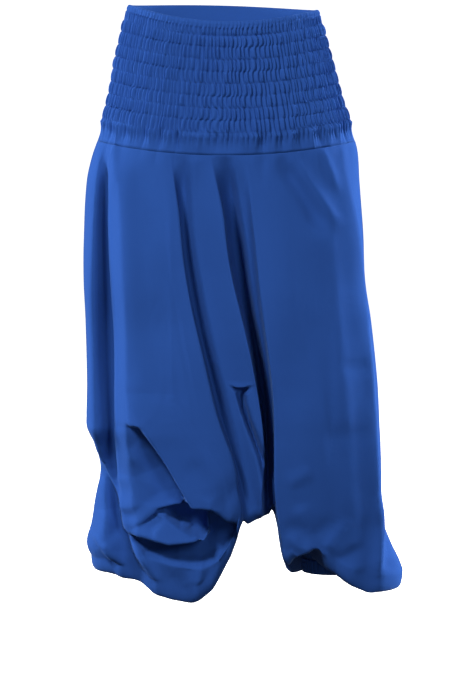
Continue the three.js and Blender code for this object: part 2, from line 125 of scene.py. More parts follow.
# The waistband is one long strip of the same cotton as the legs, sewn into a ring. Nine rows of elastic
# thread pinch it into puffs, under a narrow header casing, and its plain lower strip takes the panels.
# Sizes here and below are millimetres, and flat cuts metres. The shape functions serve the panels too.
WALL = 1.2
WAIST = {"left": 14, "right": 6, "front": -25, "back": 6}
BAND_SEAM = {"side": -203, "front": -21, "back": 10}
SIDE_SEAMS = np.array([
    # height, left side, right side
    (20, -152, 146), (-20, -160, 153), (-77, -173, 169), (-135, -184, 185), (-184, -198, 202),
    (-218, -210, 212.5), (-266, -222, 216), (-363, -227.5, 223), (-428, -228, 226), (-493, -225, 236),
    (-590, -223, 246.5), (-650, -224.5, 250), (-664, -224, 250.5), (-688, -213, 252), (-731, -202, 253.5),
    (-790, -212, 254), (-822, -217, 257), (-857, -225, 270), (-886, -212, 284), (-910, -200, 290),
    (-960, -190, 276),
])
DEPTHS = np.array([
    # height, front, back
    (20, 104, 104), (-110, 122, 126), (-210, 138, 148), (-390, 150, 158), (-612, 156, 152),
    (-785, 148, 138), (-900, 128, 118), (-960, 118, 110),
])
FULLNESS = 0.85
OUTWARD_DEPTH = 1.3
BAND_HEIGHT = 209.0
GATHERS = 156
HUMP_POWER = 0.7
HEADER_SEAM = 0.05
SMOCK_ROWS = [HEADER_SEAM, 0.11, 0.193, 0.287, 0.376, 0.466, 0.559, 0.648, 0.738, 0.83]
STRIP_LENGTH = 36.0
RING_LENGTH = 1150.0
BAND_GRID = {"columns": 1248, "header": 5, "band": 6, "strip": 8, "inner": 3}
PUFF = {"base": 0.1, "gather": 6.3, "row": 4.6, "round": 0.5, "short row": 1, "short": 0.62, "lowest": -0.5,
        "pinch": 0.5, "pinch reach": 0.9}
HEADER = {"base": 1.8, "gather": 1.6, "start": 0.03}
STRIP = {"gather": 3.0, "reach": 14.0}
SAG = {"depth": 3.4, "down": 0.112, "tall": 0.012, "turn": 0.26, "wide": 0.09}
WANDER = [
    # how far, turns round the ring, turns down the band, start: waves by which the gathers drift
    (1.8, 5, 0.3, 0.0), (1.3, 11, -0.4, 0.3), (0.9, 23, 0.7, 0.6), (0.5, 47, -1.1, 0.1),
]
ROW_SHIFT = {"wave": 1.6, "turns": 7, "step": 2.4, "scatter": 1.9, "scatter step": 5.1, "brick": 2.7}
ROW_BLEND = 0.12
GATHER_MEAN = 0.86
GATHER_SIZES = [
    # how much, step from gather to gather, step from row to row: waves that make the gathers unequal
    (0.22, 2.39, 1.7), (0.14, 5.3, 4.4),
]
SEAM_GROOVE = {"depth": 0.05, "band reach": 1.4, "panel reach": 1.6}


def smooth_curve(knots, values, at):
    """Cubic Hermite curve through values at falling knots. The slope at a knot is the rise between its two
    neighbours over their distance."""
    knots = np.asarray(knots, float)
    values = np.asarray(values, float)
    before = np.concatenate([[0], np.arange(len(knots) - 1)])
    after = np.concatenate([np.arange(1, len(knots)), [len(knots) - 1]])
    slopes = (values[after] - values[before]) / (knots[after] - knots[before])
    at = np.clip(at, knots[-1], knots[0])
    i = np.clip(np.searchsorted(-knots, -at, side="right") - 1, 0, len(knots) - 2)
    span = knots[i + 1] - knots[i]
    t = (at - knots[i]) / span
    return ((2 * t**3 - 3 * t**2 + 1) * values[i] + (t**3 - 2 * t**2 + t) * span * slopes[i]
            + (3 * t**2 - 2 * t**3) * values[i + 1] + (t**3 - t**2) * span * slopes[i + 1])


def lerp(a, b, t):
    """Value a share t of the way from a to b."""
    return a + (b - a) * t


def ramp(t):
    """Smooth step from 0 to 1 while t goes from 0 to 1."""
    t = np.clip(t, 0.0, 1.0)
    return t * t * (3 - 2 * t)


def roundness(share):
    """0 at the side seams and 1 at the middle: the height of a half circle over a share of its width."""
    share = np.clip(share, 0.0, 1.0)
    return 2 * np.sqrt(share * (1 - share))


def side_places(z):
    """Where the left and right side seams are at height z."""
    return (smooth_curve(SIDE_SEAMS[:, 0], SIDE_SEAMS[:, 1], z),
            smooth_curve(SIDE_SEAMS[:, 0], SIDE_SEAMS[:, 2], z))


def section_point(sign, share, z, out):
    """Point of the plain section at height z: a share of the way across, and forwards (sign -1) or back
    (sign 1) by the depth there times roundness to the power of fullness. out moves it outwards."""
    left, right = side_places(z)
    around = roundness(share)
    front = smooth_curve(DEPTHS[:, 0], DEPTHS[:, 1], z)
    back = smooth_curve(DEPTHS[:, 0], DEPTHS[:, 2], z)
    depth = np.where(sign < 0, front, back) * around ** FULLNESS
    x = lerp(left, right, share)
    sideways = (x - (left + right) / 2) / ((right - left) / 2)
    return np.stack([x + out * sideways * (1 - around), sign * (depth + out * around), z + 0 * x], -1)


def seam_height(sign, share):
    """Height of the seam under the band: level at the sides, lower in front and higher behind."""
    dip = np.where(sign < 0, BAND_SEAM["front"], BAND_SEAM["back"])
    return BAND_SEAM["side"] + dip * roundness(share) ** 2


def hump(phase):
    """Row of round humps with sharp grooves between them, one for each turn of phase: the sine of half the
    phase, without its sign, to a power under 1."""
    return np.abs(np.sin(phase / 2)) ** HUMP_POWER


# Pleats that the last elastic row lets out over the plain strip and into the panels. x is where each lies
# on the front, out how far it stands, width and length how far it spreads and runs down.
FRONT_PLEATS = [
    # x, out, width, length
    (-196, 3.0, 6, 40), (-186, -3.0, 6, 60), (-172, 3.2, 5, 60), (-160, -2.0, 6, 30), (-150, 2.2, 6, 26),
    (-129, -3.4, 4, 26), (-117, 2.0, 7, 30), (-104, -4.0, 4, 34), (-90, 2.4, 8, 36), (-75, -4.4, 4, 42),
    (-60, 2.0, 8, 40), (-40, 3.6, 9, 60), (-14, -2.0, 8, 70), (6, -1.2, 7, 60), (30, 2.6, 8, 44),
    (46, 4.2, 6, 34), (60, -3.2, 6, 62), (76, 2.6, 8, 46), (90, -2.2, 6, 34), (104, 2.8, 8, 60),
    (121, -2.4, 7, 44), (138, 2.6, 6, 62), (152, -2.6, 6, 40), (166, 2.2, 6, 36), (182, 2.6, 6, 52),
    (194, -3.0, 6, 52), (204, 2.2, 5, 40),
]
BACK_PLEATS = {"count": 26, "start": 0.51, "run": 0.48, "stray": 0.25, "out": (1.8, 4.2), "width": (4, 9),
               "length": (26, 70)}
PLEAT = {"sharp": 1.4, "strength": 1.3, "onset": 5, "held": 0.65, "held reach": 8}


def front_turn(x):
    """Where a place across the front lies round the ring, from 0 at the left side to 0.5 at the right."""
    left, right = side_places(np.float64(BAND_SEAM["side"]))
    return np.arccos(1 - 2 * (x - left) / (right - left)) / (2 * np.pi)


pleat_chance = np.random.default_rng(11)
pleat_table = [(front_turn(x), out, width, length) for x, out, width, length in FRONT_PLEATS]
for k in range(BACK_PLEATS["count"]):
    stray = pleat_chance.uniform(-BACK_PLEATS["stray"], BACK_PLEATS["stray"])
    place = BACK_PLEATS["start"] + BACK_PLEATS["run"] * (k + 0.5 + stray) / BACK_PLEATS["count"]
    side = 1 if k % 2 else -1
    out, width, length = (pleat_chance.uniform(*BACK_PLEATS[key]) for key in ("out", "width", "length"))
    pleat_table.append((place, side * out, width, length))


def pleats(turn, drop):
    """Sum of the pleats at a place round the ring and a distance below the last elastic row. Each is a
    bell across its width, grows over the first few millimetres and dies away along its length. The seam
    below the strip holds them flatter."""
    total = np.zeros(np.broadcast(turn, drop).shape)
    for place, out, width, length in pleat_table:
        away = (turn - place + 0.5) % 1.0 - 0.5
        across = np.exp(-np.abs(away * RING_LENGTH / width) ** PLEAT["sharp"])
        total += out * across * np.exp(-(drop / length) ** 2)
    held_flat = PLEAT["held"] * np.exp(-((drop - STRIP_LENGTH) / PLEAT["held reach"]) ** 2)
    return PLEAT["strength"] * total * ramp(drop / PLEAT["onset"]) * (1 - held_flat)


def row_shift(band, turn):
    """How far a row's gathers are shifted round the ring against the others': by a wave of the row's own,
    and further in every second row."""
    scatter = ROW_SHIFT["scatter"] * np.sin(band * ROW_SHIFT["scatter step"])
    wave = np.sin(band * ROW_SHIFT["step"] + 2 * np.pi * ROW_SHIFT["turns"] * turn + scatter)
    return ROW_SHIFT["wave"] * wave + ROW_SHIFT["brick"] * (band % 2)


def smocking(turn, down):
    """How far the band's outside stands out at a place round the ring and a share of the way down: puffs
    between the elastic rows, cut into gathers by sharp grooves that wander and shift from row to row, with
    a rounder header above and the pleated strip below."""
    rows = np.array([0.0] + SMOCK_ROWS + [1.0])
    band = np.clip(np.searchsorted(rows, down, side="right") - 1, 0, len(rows) - 2)
    t = (down - rows[band]) / (rows[band + 1] - rows[band])
    wander = sum(far * np.sin(2 * np.pi * (around * turn + along * down + start))
                 for far, around, along, start in WANDER)
    near = np.where(t < 0.5, 0.5 - 0.5 * ramp(t / ROW_BLEND), 0.5 * ramp((t - 1 + ROW_BLEND) / ROW_BLEND))
    other = np.where(t < 0.5, band - 1, band + 1)
    phase = 2 * np.pi * GATHERS * turn + wander + lerp(row_shift(band, turn), row_shift(other, turn), near)
    which = np.floor(phase / (2 * np.pi))
    size = GATHER_MEAN
    for much, gather_step, row_step in GATHER_SIZES:
        size = size + much * np.sin(which * gather_step + band * row_step)
    gather = hump(phase)
    puffed = np.sin(np.pi * np.clip(t, 0, 1)) ** PUFF["round"]
    short = np.where(band == PUFF["short row"], PUFF["short"], 1.0)
    puff = puffed * short * (PUFF["base"] + PUFF["gather"] * size * gather)
    puff += (1 - puffed) * PUFF["row"] * gather
    rows_away = np.min(np.abs(down[..., None] - np.array(SMOCK_ROWS)), axis=-1) * BAND_HEIGHT
    puff -= PUFF["pinch"] * np.exp(-(rows_away / PUFF["pinch reach"]) ** 2)
    puff -= (SAG["depth"] * np.exp(-((down - SAG["down"]) / SAG["tall"]) ** 2)
             * np.exp(-((turn - SAG["turn"]) / SAG["wide"]) ** 2))
    puff = np.maximum(puff, PUFF["lowest"])
    rounded = np.sin(np.pi * np.clip(t, HEADER["start"], 1)) ** PUFF["round"]
    header = rounded * (HEADER["base"] + HEADER["gather"] * size * gather)
    drop = (down - SMOCK_ROWS[-1]) / (1 - SMOCK_ROWS[-1]) * STRIP_LENGTH
    strip = ((PUFF["row"] + STRIP["gather"] * size * ramp(drop / PLEAT["onset"])) * gather
             * np.exp(-(drop / STRIP["reach"]) ** 2) + pleats(turn, np.maximum(drop, 0)))
    strip -= SEAM_GROOVE["depth"] * np.exp(-((STRIP_LENGTH - drop) / SEAM_GROOVE["band reach"]) ** 2)
    return np.where(band == 0, header, np.where(band == len(rows) - 2, strip, puff))


def band_point(turn, down, out):
    """Point of the band's ring: round the plain section by turn, down from the waist to the seam, and
    out along the section's own outward direction."""
    turn = turn % 1.0
    sign = np.where(turn < 0.5, -1.0, 1.0)
    half = np.where(turn < 0.5, turn * 2, 2 - turn * 2)
    share = (1 - np.cos(np.pi * half)) / 2
    waist = (lerp(WAIST["left"], WAIST["right"], share)
             + np.where(sign < 0, WAIST["front"], WAIST["back"]) * roundness(share) ** 2)
    z = lerp(waist, seam_height(sign, share), down)
    plain = section_point(sign, share, z, 0.0)
    left, right = side_places(z)
    outward = np.stack([plain[..., 0] - (left + right) / 2, plain[..., 1] * OUTWARD_DEPTH, 0 * z], -1)
    outward /= np.linalg.norm(outward, axis=-1, keepdims=True)
    return plain + outward * np.asarray(out)[..., None]


def cloth_piece(name, points, material, flat, tube=False, wall=WALL):
    """A piece of cloth from a grid of points in millimetres, rows by columns, with its outside where the
    rows run down and the columns to the right as seen from outside. A tube joins its last column to the
    first, and its last row, which is on its inside, to the first. Any other piece is thickened inwards by
    its wall. The UV map 'cloth' gives each point's place on the flat cut, in metres."""
    rows, columns = points.shape[:2]
    spans = columns if tube else columns - 1
    drops = rows if tube else rows - 1
    r, c = np.meshgrid(np.arange(drops), np.arange(spans), indexing="ij")
    corner_rows = np.stack([r, r + 1, r + 1, r], -1).reshape(-1, 4)
    corner_columns = np.stack([c, c, c + 1, c + 1], -1).reshape(-1, 4)
    faces = corner_rows % rows * columns + corner_columns % columns
    mesh = bpy.data.meshes.new(name)
    mesh.vertices.add(rows * columns)
    mesh.vertices.foreach_set("co", (points.reshape(-1, 3) * 0.001).ravel())
    mesh.loops.add(faces.size)
    mesh.loops.foreach_set("vertex_index", faces.ravel())
    mesh.polygons.add(len(faces))
    mesh.polygons.foreach_set("loop_start", np.arange(len(faces)) * 4)
    mesh.update(calc_edges=True)
    places = mesh.uv_layers.new(name="cloth")
    across = corner_columns / spans * flat[0]
    down = (1 - corner_rows / drops) * flat[1] * (2 if tube else 1)
    places.data.foreach_set("uv", np.stack([across, down], -1).ravel())
    mesh.polygons.foreach_set("use_smooth", np.ones(len(faces), bool))
    mesh.validate()
    piece = bpy.data.objects.new(name, mesh)
    bpy.context.scene.collection.objects.link(piece)
    if not tube:
        thicken = piece.modifiers.new("wall", "SOLIDIFY")
        thicken.thickness = wall * 0.001
        thicken.offset = -1.0
    mesh.materials.append(material)
    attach(piece, "root")
    return piece


# Poplin: plain-woven royal blue cotton. The weave, its uneven yarns and the soft mottling of pressed
# cloth are one group; the crumples left by wearing are another.
CLOTH_DARK = (0.0170, 0.060, 0.250, 1.0)
CLOTH_LIGHT = (0.0225, 0.076, 0.305, 1.0)
YARNS_PER_METRE = 2400.0


def new_group(name, inputs, outputs):
    """A shader node group with named sockets, its input and output nodes."""
    group = bpy.data.node_groups.new(name, "ShaderNodeTree")
    for label, kind, value in inputs:
        socket = group.interface.new_socket(label, in_out="INPUT", socket_type=kind)
        if value is not None:
            socket.default_value = value
    for label, kind in outputs:
        group.interface.new_socket(label, in_out="OUTPUT", socket_type=kind)
    return group, group.nodes.new("NodeGroupInput"), group.nodes.new("NodeGroupOutput")


def fed_node(tree, kind, inputs):
    """The outputs of a new node whose inputs, by name or number, are given a value or linked to a socket."""
    node = tree.nodes.new(kind)
    for label, value in inputs.items():
        if isinstance(value, bpy.types.NodeSocket):
            tree.links.new(value, node.inputs[label])
        else:
            node.inputs[label].default_value = value
    return node.outputs


def math_node(tree, operation, *values):
    """The result of a Math node whose inputs are numbers or sockets."""
    result = fed_node(tree, "ShaderNodeMath", dict(enumerate(values)))[0]
    result.node.operation = operation
    return result


def poplin_weave():
    """Group: height and tone of a plain weave over the cloth's own map, with yarns of uneven thickness."""
    group, given, made = new_group(
        "poplin weave", [("Place", "NodeSocketVector", None), ("Yarns", "NodeSocketFloat", YARNS_PER_METRE)],
        [("Height", "NodeSocketFloat"), ("Tone", "NodeSocketFloat")])
    split = fed_node(group, "ShaderNodeSeparateXYZ", {0: given.outputs["Place"]})
    turns = math_node(group, "MULTIPLY", given.outputs["Yarns"], math.pi)
    warp, weft = (math_node(group, "SINE", math_node(group, "MULTIPLY", split[k], turns)) for k in (0, 1))
    weave = math_node(group, "MULTIPLY", warp, weft)
    stretched = fed_node(group, "ShaderNodeMapping",
                         {"Vector": given.outputs["Place"], "Scale": (900.0, 28.0, 1.0)})[0]
    slub = fed_node(group, "ShaderNodeTexNoise", {"Vector": stretched, "Scale": 1.0, "Detail": 3.0})["Fac"]
    group.links.new(math_node(group, "MULTIPLY_ADD", slub, 0.9, weave), made.inputs["Height"])
    group.links.new(slub, made.inputs["Tone"])
    return group


def worn_crumple():
    """Group: soft shallow crumples of worn cotton in object space, as a height and a mottled tone."""
    group, given, made = new_group(
        "worn crumple", [("Place", "NodeSocketVector", None), ("Size", "NodeSocketFloat", 14.0)],
        [("Height", "NodeSocketFloat"), ("Tone", "NodeSocketFloat")])
    fine = fed_node(group, "ShaderNodeTexNoise", {
        "Vector": given.outputs["Place"], "Scale": given.outputs["Size"], "Detail": 4.0, "Roughness": 0.55,
        "Distortion": 0.6})
    broad = fed_node(group, "ShaderNodeTexNoise", {
        "Vector": given.outputs["Place"], "Scale": 5.0, "Detail": 2.0})
    group.links.new(fine["Fac"], made.inputs["Height"])
    group.links.new(broad["Fac"], made.inputs["Tone"])
    return group


weave_group = poplin_weave()
crumple_group = worn_crumple()


def poplin(name, weave_depth, crumple_depth, crumple_size):
    """The blue cotton's material. Mottling and yarns shift its blue a little, and its height comes from
    the weave and the crumples; depths are metres."""
    material = bpy.data.materials.new(name)
    material.use_nodes = True
    tree = material.node_tree
    shader = tree.nodes["Principled BSDF"]
    shader.inputs["Roughness"].default_value = 0.62
    shader.inputs["Specular IOR Level"].default_value = 0.08
    shader.inputs["Sheen Weight"].default_value = 0.14
    shader.inputs["Sheen Roughness"].default_value = 0.36
    shader.inputs["Sheen Tint"].default_value = (0.28, 0.52, 1.0, 1.0)
    cloth_map = tree.nodes.new("ShaderNodeUVMap")
    cloth_map.uv_map = "cloth"
    place = tree.nodes.new("ShaderNodeTexCoord")
    weave = tree.nodes.new("ShaderNodeGroup")
    weave.node_tree = weave_group
    tree.links.new(cloth_map.outputs["UV"], weave.inputs["Place"])
    crumple = tree.nodes.new("ShaderNodeGroup")
    crumple.node_tree = crumple_group
    crumple.inputs["Size"].default_value = crumple_size
    tree.links.new(place.outputs["Object"], crumple.inputs["Place"])
    tone = math_node(tree, "MULTIPLY_ADD", weave.outputs["Tone"], 0.4,
                     math_node(tree, "MULTIPLY", crumple.outputs["Tone"], 0.6))
    blues = tree.nodes.new("ShaderNodeMix")
    blues.data_type = "RGBA"
    blues.inputs["A"].default_value = CLOTH_DARK
    blues.inputs["B"].default_value = CLOTH_LIGHT
    tree.links.new(tone, blues.inputs["Factor"])
    tree.links.new(blues.outputs["Result"], shader.inputs["Base Color"])
    soft = fed_node(tree, "ShaderNodeBump", {
        "Height": crumple.outputs["Height"], "Distance": crumple_depth, "Strength": 0.5})
    threads = fed_node(tree, "ShaderNodeBump", {
        "Height": weave.outputs["Height"], "Distance": weave_depth, "Strength": 0.35,
        "Normal": soft["Normal"]})
    tree.links.new(threads["Normal"], shader.inputs["Normal"])
    return material


WEAVE_DEPTH = 0.00012
band_cloth = poplin("smocked poplin", WEAVE_DEPTH, crumple_depth=0.0012, crumple_size=60.0)
BAND_FLAT = (1.55, 0.235)
header_rows = np.linspace(0, HEADER_SEAM, BAND_GRID["header"], endpoint=False)
band_shares = (1 - np.cos(np.pi * np.arange(BAND_GRID["band"]) / BAND_GRID["band"])) / 2
band_rows = [lerp(a, b, band_shares) for a, b in zip(SMOCK_ROWS, SMOCK_ROWS[1:])]
strip_rows = np.linspace(SMOCK_ROWS[-1], 1.0, BAND_GRID["strip"])
downs = np.concatenate([header_rows, *band_rows, strip_rows])
turns = np.arange(BAND_GRID["columns"]) / BAND_GRID["columns"]
down_grid, turn_grid = np.meshgrid(downs, turns, indexing="ij")
band_outside = band_point(turn_grid, down_grid, smocking(turn_grid, down_grid))
plain_rows = np.linspace(SMOCK_ROWS[-1], 0.0, BAND_GRID["inner"] + 1)[1:]
inner_down, inner_turn = np.meshgrid(np.concatenate([strip_rows[::-1], plain_rows]), turns, indexing="ij")
inward_pleats = np.minimum(smocking(inner_turn, inner_down), 0)
pulled_in = np.where(inner_down >= SMOCK_ROWS[-1], inward_pleats, 0)
band_inside = band_point(inner_turn, inner_down, pulled_in - WALL)
band_closed = np.concatenate([band_outside, band_inside])
waistband = cloth_piece("smocked_waistband", band_closed, band_cloth, BAND_FLAT, tube=True)
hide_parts("waistband")

# Front panel. One wide piece makes the front of both legs and the low crotch. It is gathered into the
# band, hangs in a few long folds, slumps over itself on the viewer's left and turns under at the hem.
LEVELS = (-218, -390, -612, -785, -900)
CUFF = {"radius": 46, "top": -880, "height": 23, "overlap": 2, "gap": 0.3}
CUFF_X = {"left": -99, "right": 172}
CROTCH = {"x": 50, "z": -795}
INSEAM = {"left reach": 50, "right reach": 30, "dip": 16, "left top": 46, "right top": 62, "foot": 0.3}
EDGE_SHARES = {"left cuff": 0.36, "crotch": 0.5, "right cuff": 0.64}
TURN = {"start": 28, "drop": 16, "follow": 0.65, "reach": 30, "lift": 12, "lift follow": 0.35, "tight": 0.75,
        "tight over": 20}
FOLD_START = 0.12
LEAN_RUN = {"grown": 0.2, "fading": 0.84, "over": 0.14}
SIDE_FADE = 0.012
FRONT_LINES = [
    # x and out are given at LEVELS, low is where the line turns under, edge its share of the lower edge.
    # A crisp line is creased along its length, and lean says how far it hangs over to the right.
    {"name": "left side", "low": -903, "edge": 0.0},
    {"name": "left bulge", "x": (-202, -215, -214, -199, -186), "forward": (6, 14, 16, 8, 0), "low": -902,
     "edge": 0.04},
    {"name": "left hollow", "x": (-189, -181, -176, -166, -140), "forward": (-12, -44, -46, -30, -8),
     "low": -908, "edge": 0.09},
    {"name": "left ridge", "x": (-184, -174.5, -168, -157, -128), "forward": (-6, -18, -19, -15, -2),
     "low": -912, "edge": 0.12, "crisp": 1, "lean": -12},
    {"name": "left brow", "x": (-169, -158, -152, -142, -112), "out": (5, 8, 8, 6, 2), "low": -924,
     "edge": 0.17},
    {"name": "left facet", "x": (-138, -124, -102, -95, -84), "out": (0, 2, 4, 4, 4), "low": -934,
     "edge": 0.24},
    {"name": "slump", "x": (-119, -104, -74, -50, -54), "out": (0, 2, 4, 6, 4), "low": -938, "edge": 0.34},
    {"name": "slump edge", "x": (-104, -91, -52, -13, -24), "out": (0, 2, 6, 8, -4), "low": -914,
     "edge": 0.42},
    {"name": "sack side", "x": (-94, -81, -38, 10, -2), "out": (0, 3, 7, 3, -14), "low": -864,
     "edge": 0.455},
    {"name": "facet edge", "x": (-85, -72, -26, 26, 14), "out": (0, 4, 8, -6, -16), "low": -809,
     "edge": 0.48, "crisp": 1, "lean": 9},
    {"name": "left valley", "x": (-66, -60, -12, 36, 40), "out": (-14, -34, -38, -23, -14), "low": -811,
     "edge": 0.49},
    {"name": "middle shelf", "x": (-50, -40, 8, 46, 49), "out": (-4, -12, -16, -22, -20), "low": -807,
     "edge": 0.497},
    {"name": "middle ridge", "x": (-22, -2, 47, 58, 57), "out": (2, 2, 0, -9, -14), "low": -801,
     "edge": 0.505, "crisp": 1, "lean": 9},
    {"name": "right valley", "x": (0, 26, 62, 70, 71), "out": (-16, -62, -74, -48, -26), "low": -798,
     "edge": 0.52},
    {"name": "crotch notch", "x": (15, 40, 71, 79, 82), "out": (-4, -26, -40, -36, -24), "low": -788,
     "edge": 0.535},
    {"name": "leg edge", "x": (32, 54, 78, 83, 104), "out": (0, -2, 4, 6, 0), "low": -873, "edge": 0.58,
     "crisp": 1, "lean": -3},
    {"name": "peek start", "x": (60, 80, 104, 112, 122), "out": (0, 0, 3, 6, 4), "low": -860,
     "edge": 0.63},
    {"name": "peek top", "x": (90, 110, 132, 143, 152), "out": (0, 2, 4, 6, 8), "low": -852, "edge": 0.7},
    {"name": "right facet", "x": (118, 137, 158, 166, 170), "out": (2, 3, 5, 6, 8), "low": -888,
     "edge": 0.78},
    {"name": "right hem", "x": (152, 176, 199, 211, 224), "out": (2, 4, 5, 6, 6),
     "forward": (0, 4, 8, 5, 0), "low": -924, "edge": 0.86},
    {"name": "right ridge", "x": (185, 214, 236, 243, 247), "out": (2, 4, 6, 6, 8),
     "forward": (6, 18, 30, 26, 4), "low": -928, "edge": 0.94, "crisp": 1, "lean": 3},
    {"name": "right side", "low": -928, "edge": 1.0},
]
FRONT_STEPS = (6, 7, 4, 7, 14, 18, 16, 11, 7, 8, 8, 15, 8, 8, 8, 9, 9, 10, 10, 11, 10)
PATH_SAMPLES = 40
LAP = {"turn": 7.0, "above": 46.0, "fade": 0.2, "high power": 1.5, "push power": 1.2}
CREASE = {"reach": 2.6, "taper": 0.3}
FRONT_CREASES = [
    # Ridges (height above 0) and troughs laid along three places each: height, width across and sharpness.
    # A sharpness below 1 is a pressed edge.
    ((-170, -181), (-173, -216), (-176, -300), 3.0, 6, 0.8),
    ((81, -224), (124, -285), (168, -360), -8.0, 14, 1),
    ((104, -222), (140, -282), (186, -346), 5.0, 10, 0.9),
    ((146, -204), (162, -239), (180, -290), 4.0, 8, 0.9),
    ((-82, -232), (-84, -450), (-79, -690), 1.3, 7, 0.5),
    ((164, -330), (167, -544), (166, -730), -1.3, 7, 0.6),
    ((174, -552), (204, -559), (235, -555), -2.0, 8, 0.8),
    ((92, -743), (118, -730), (140, -717), 2.2, 12, 1),
    ((102, -430), (120, -544), (110, -650), -3.5, 34, 1),
    ((98, -812), (120, -842), (146, -842), 4.5, 10, 0.9),
    ((92, -796), (134, -816), (195, -798), -3.0, 16, 1),
    ((245, -760), (244, -838), (242, -912), 5.0, 9, 0.7),
    ((256, -824), (261, -862), (256, -897), -6.0, 10, 1),
    ((155, -849), (174, -830), (200, -795), 3.6, 8, 0.9),
    ((158, -864), (190, -862), (223, -842), -3.6, 9, 1),
    ((162, -880), (196, -884), (226, -874), 2.6, 8, 1), ((-8, -610), (0, -660), (20, -715), 2.0, 8, 1),
    ((-24, -778), (0, -758), (26, -738), -4.5, 16, 1),
    ((-125, -430), (-100, -544), (-72, -645), -3.0, 40, 1),
    ((-216, -834), (-185, -863), (-152, -886), 4.0, 5, 0.8),
    ((-206, -800), (-190, -845), (-176, -884), 3.0, 9, 1),
    ((-31, -855), (-41, -894), (-52, -928), 5.0, 9, 0.9),
    ((-48, -850), (-62, -894), (-74, -930), -3.0, 12, 1),
    ((-120, -856), (-98, -884), (-66, -906), -2.6, 12, 1),
    ((-146, -840), (-124, -876), (-98, -910), 3.4, 6, 0.8),
    ((-158, -700), (-130, -720), (-104, -790), 3.2, 10, 0.9),
    ((230, -470), (222, -560), (236, -650), -2.6, 16, 1),
    ((60, -250), (92, -420), (108, -560), 2.2, 22, 1),
    ((-140, -235), (-122, -300), (-112, -390), -2.4, 22, 1),
    ((196, -640), (186, -700), (200, -780), -2.4, 18, 1),
    ((118, -770), (128, -800), (150, -826), 2.6, 12, 1),
    ((-60, -700), (-30, -730), (-8, -772), -2.6, 18, 1),
    ((-150, -560), (-120, -600), (-90, -610), 1.6, 20, 1),
    ((-170, -740), (-150, -780), (-146, -812), -3.0, 10, 1),
    ((-86, -856), (-60, -866), (-34, -862), 3.0, 8, 1),
]
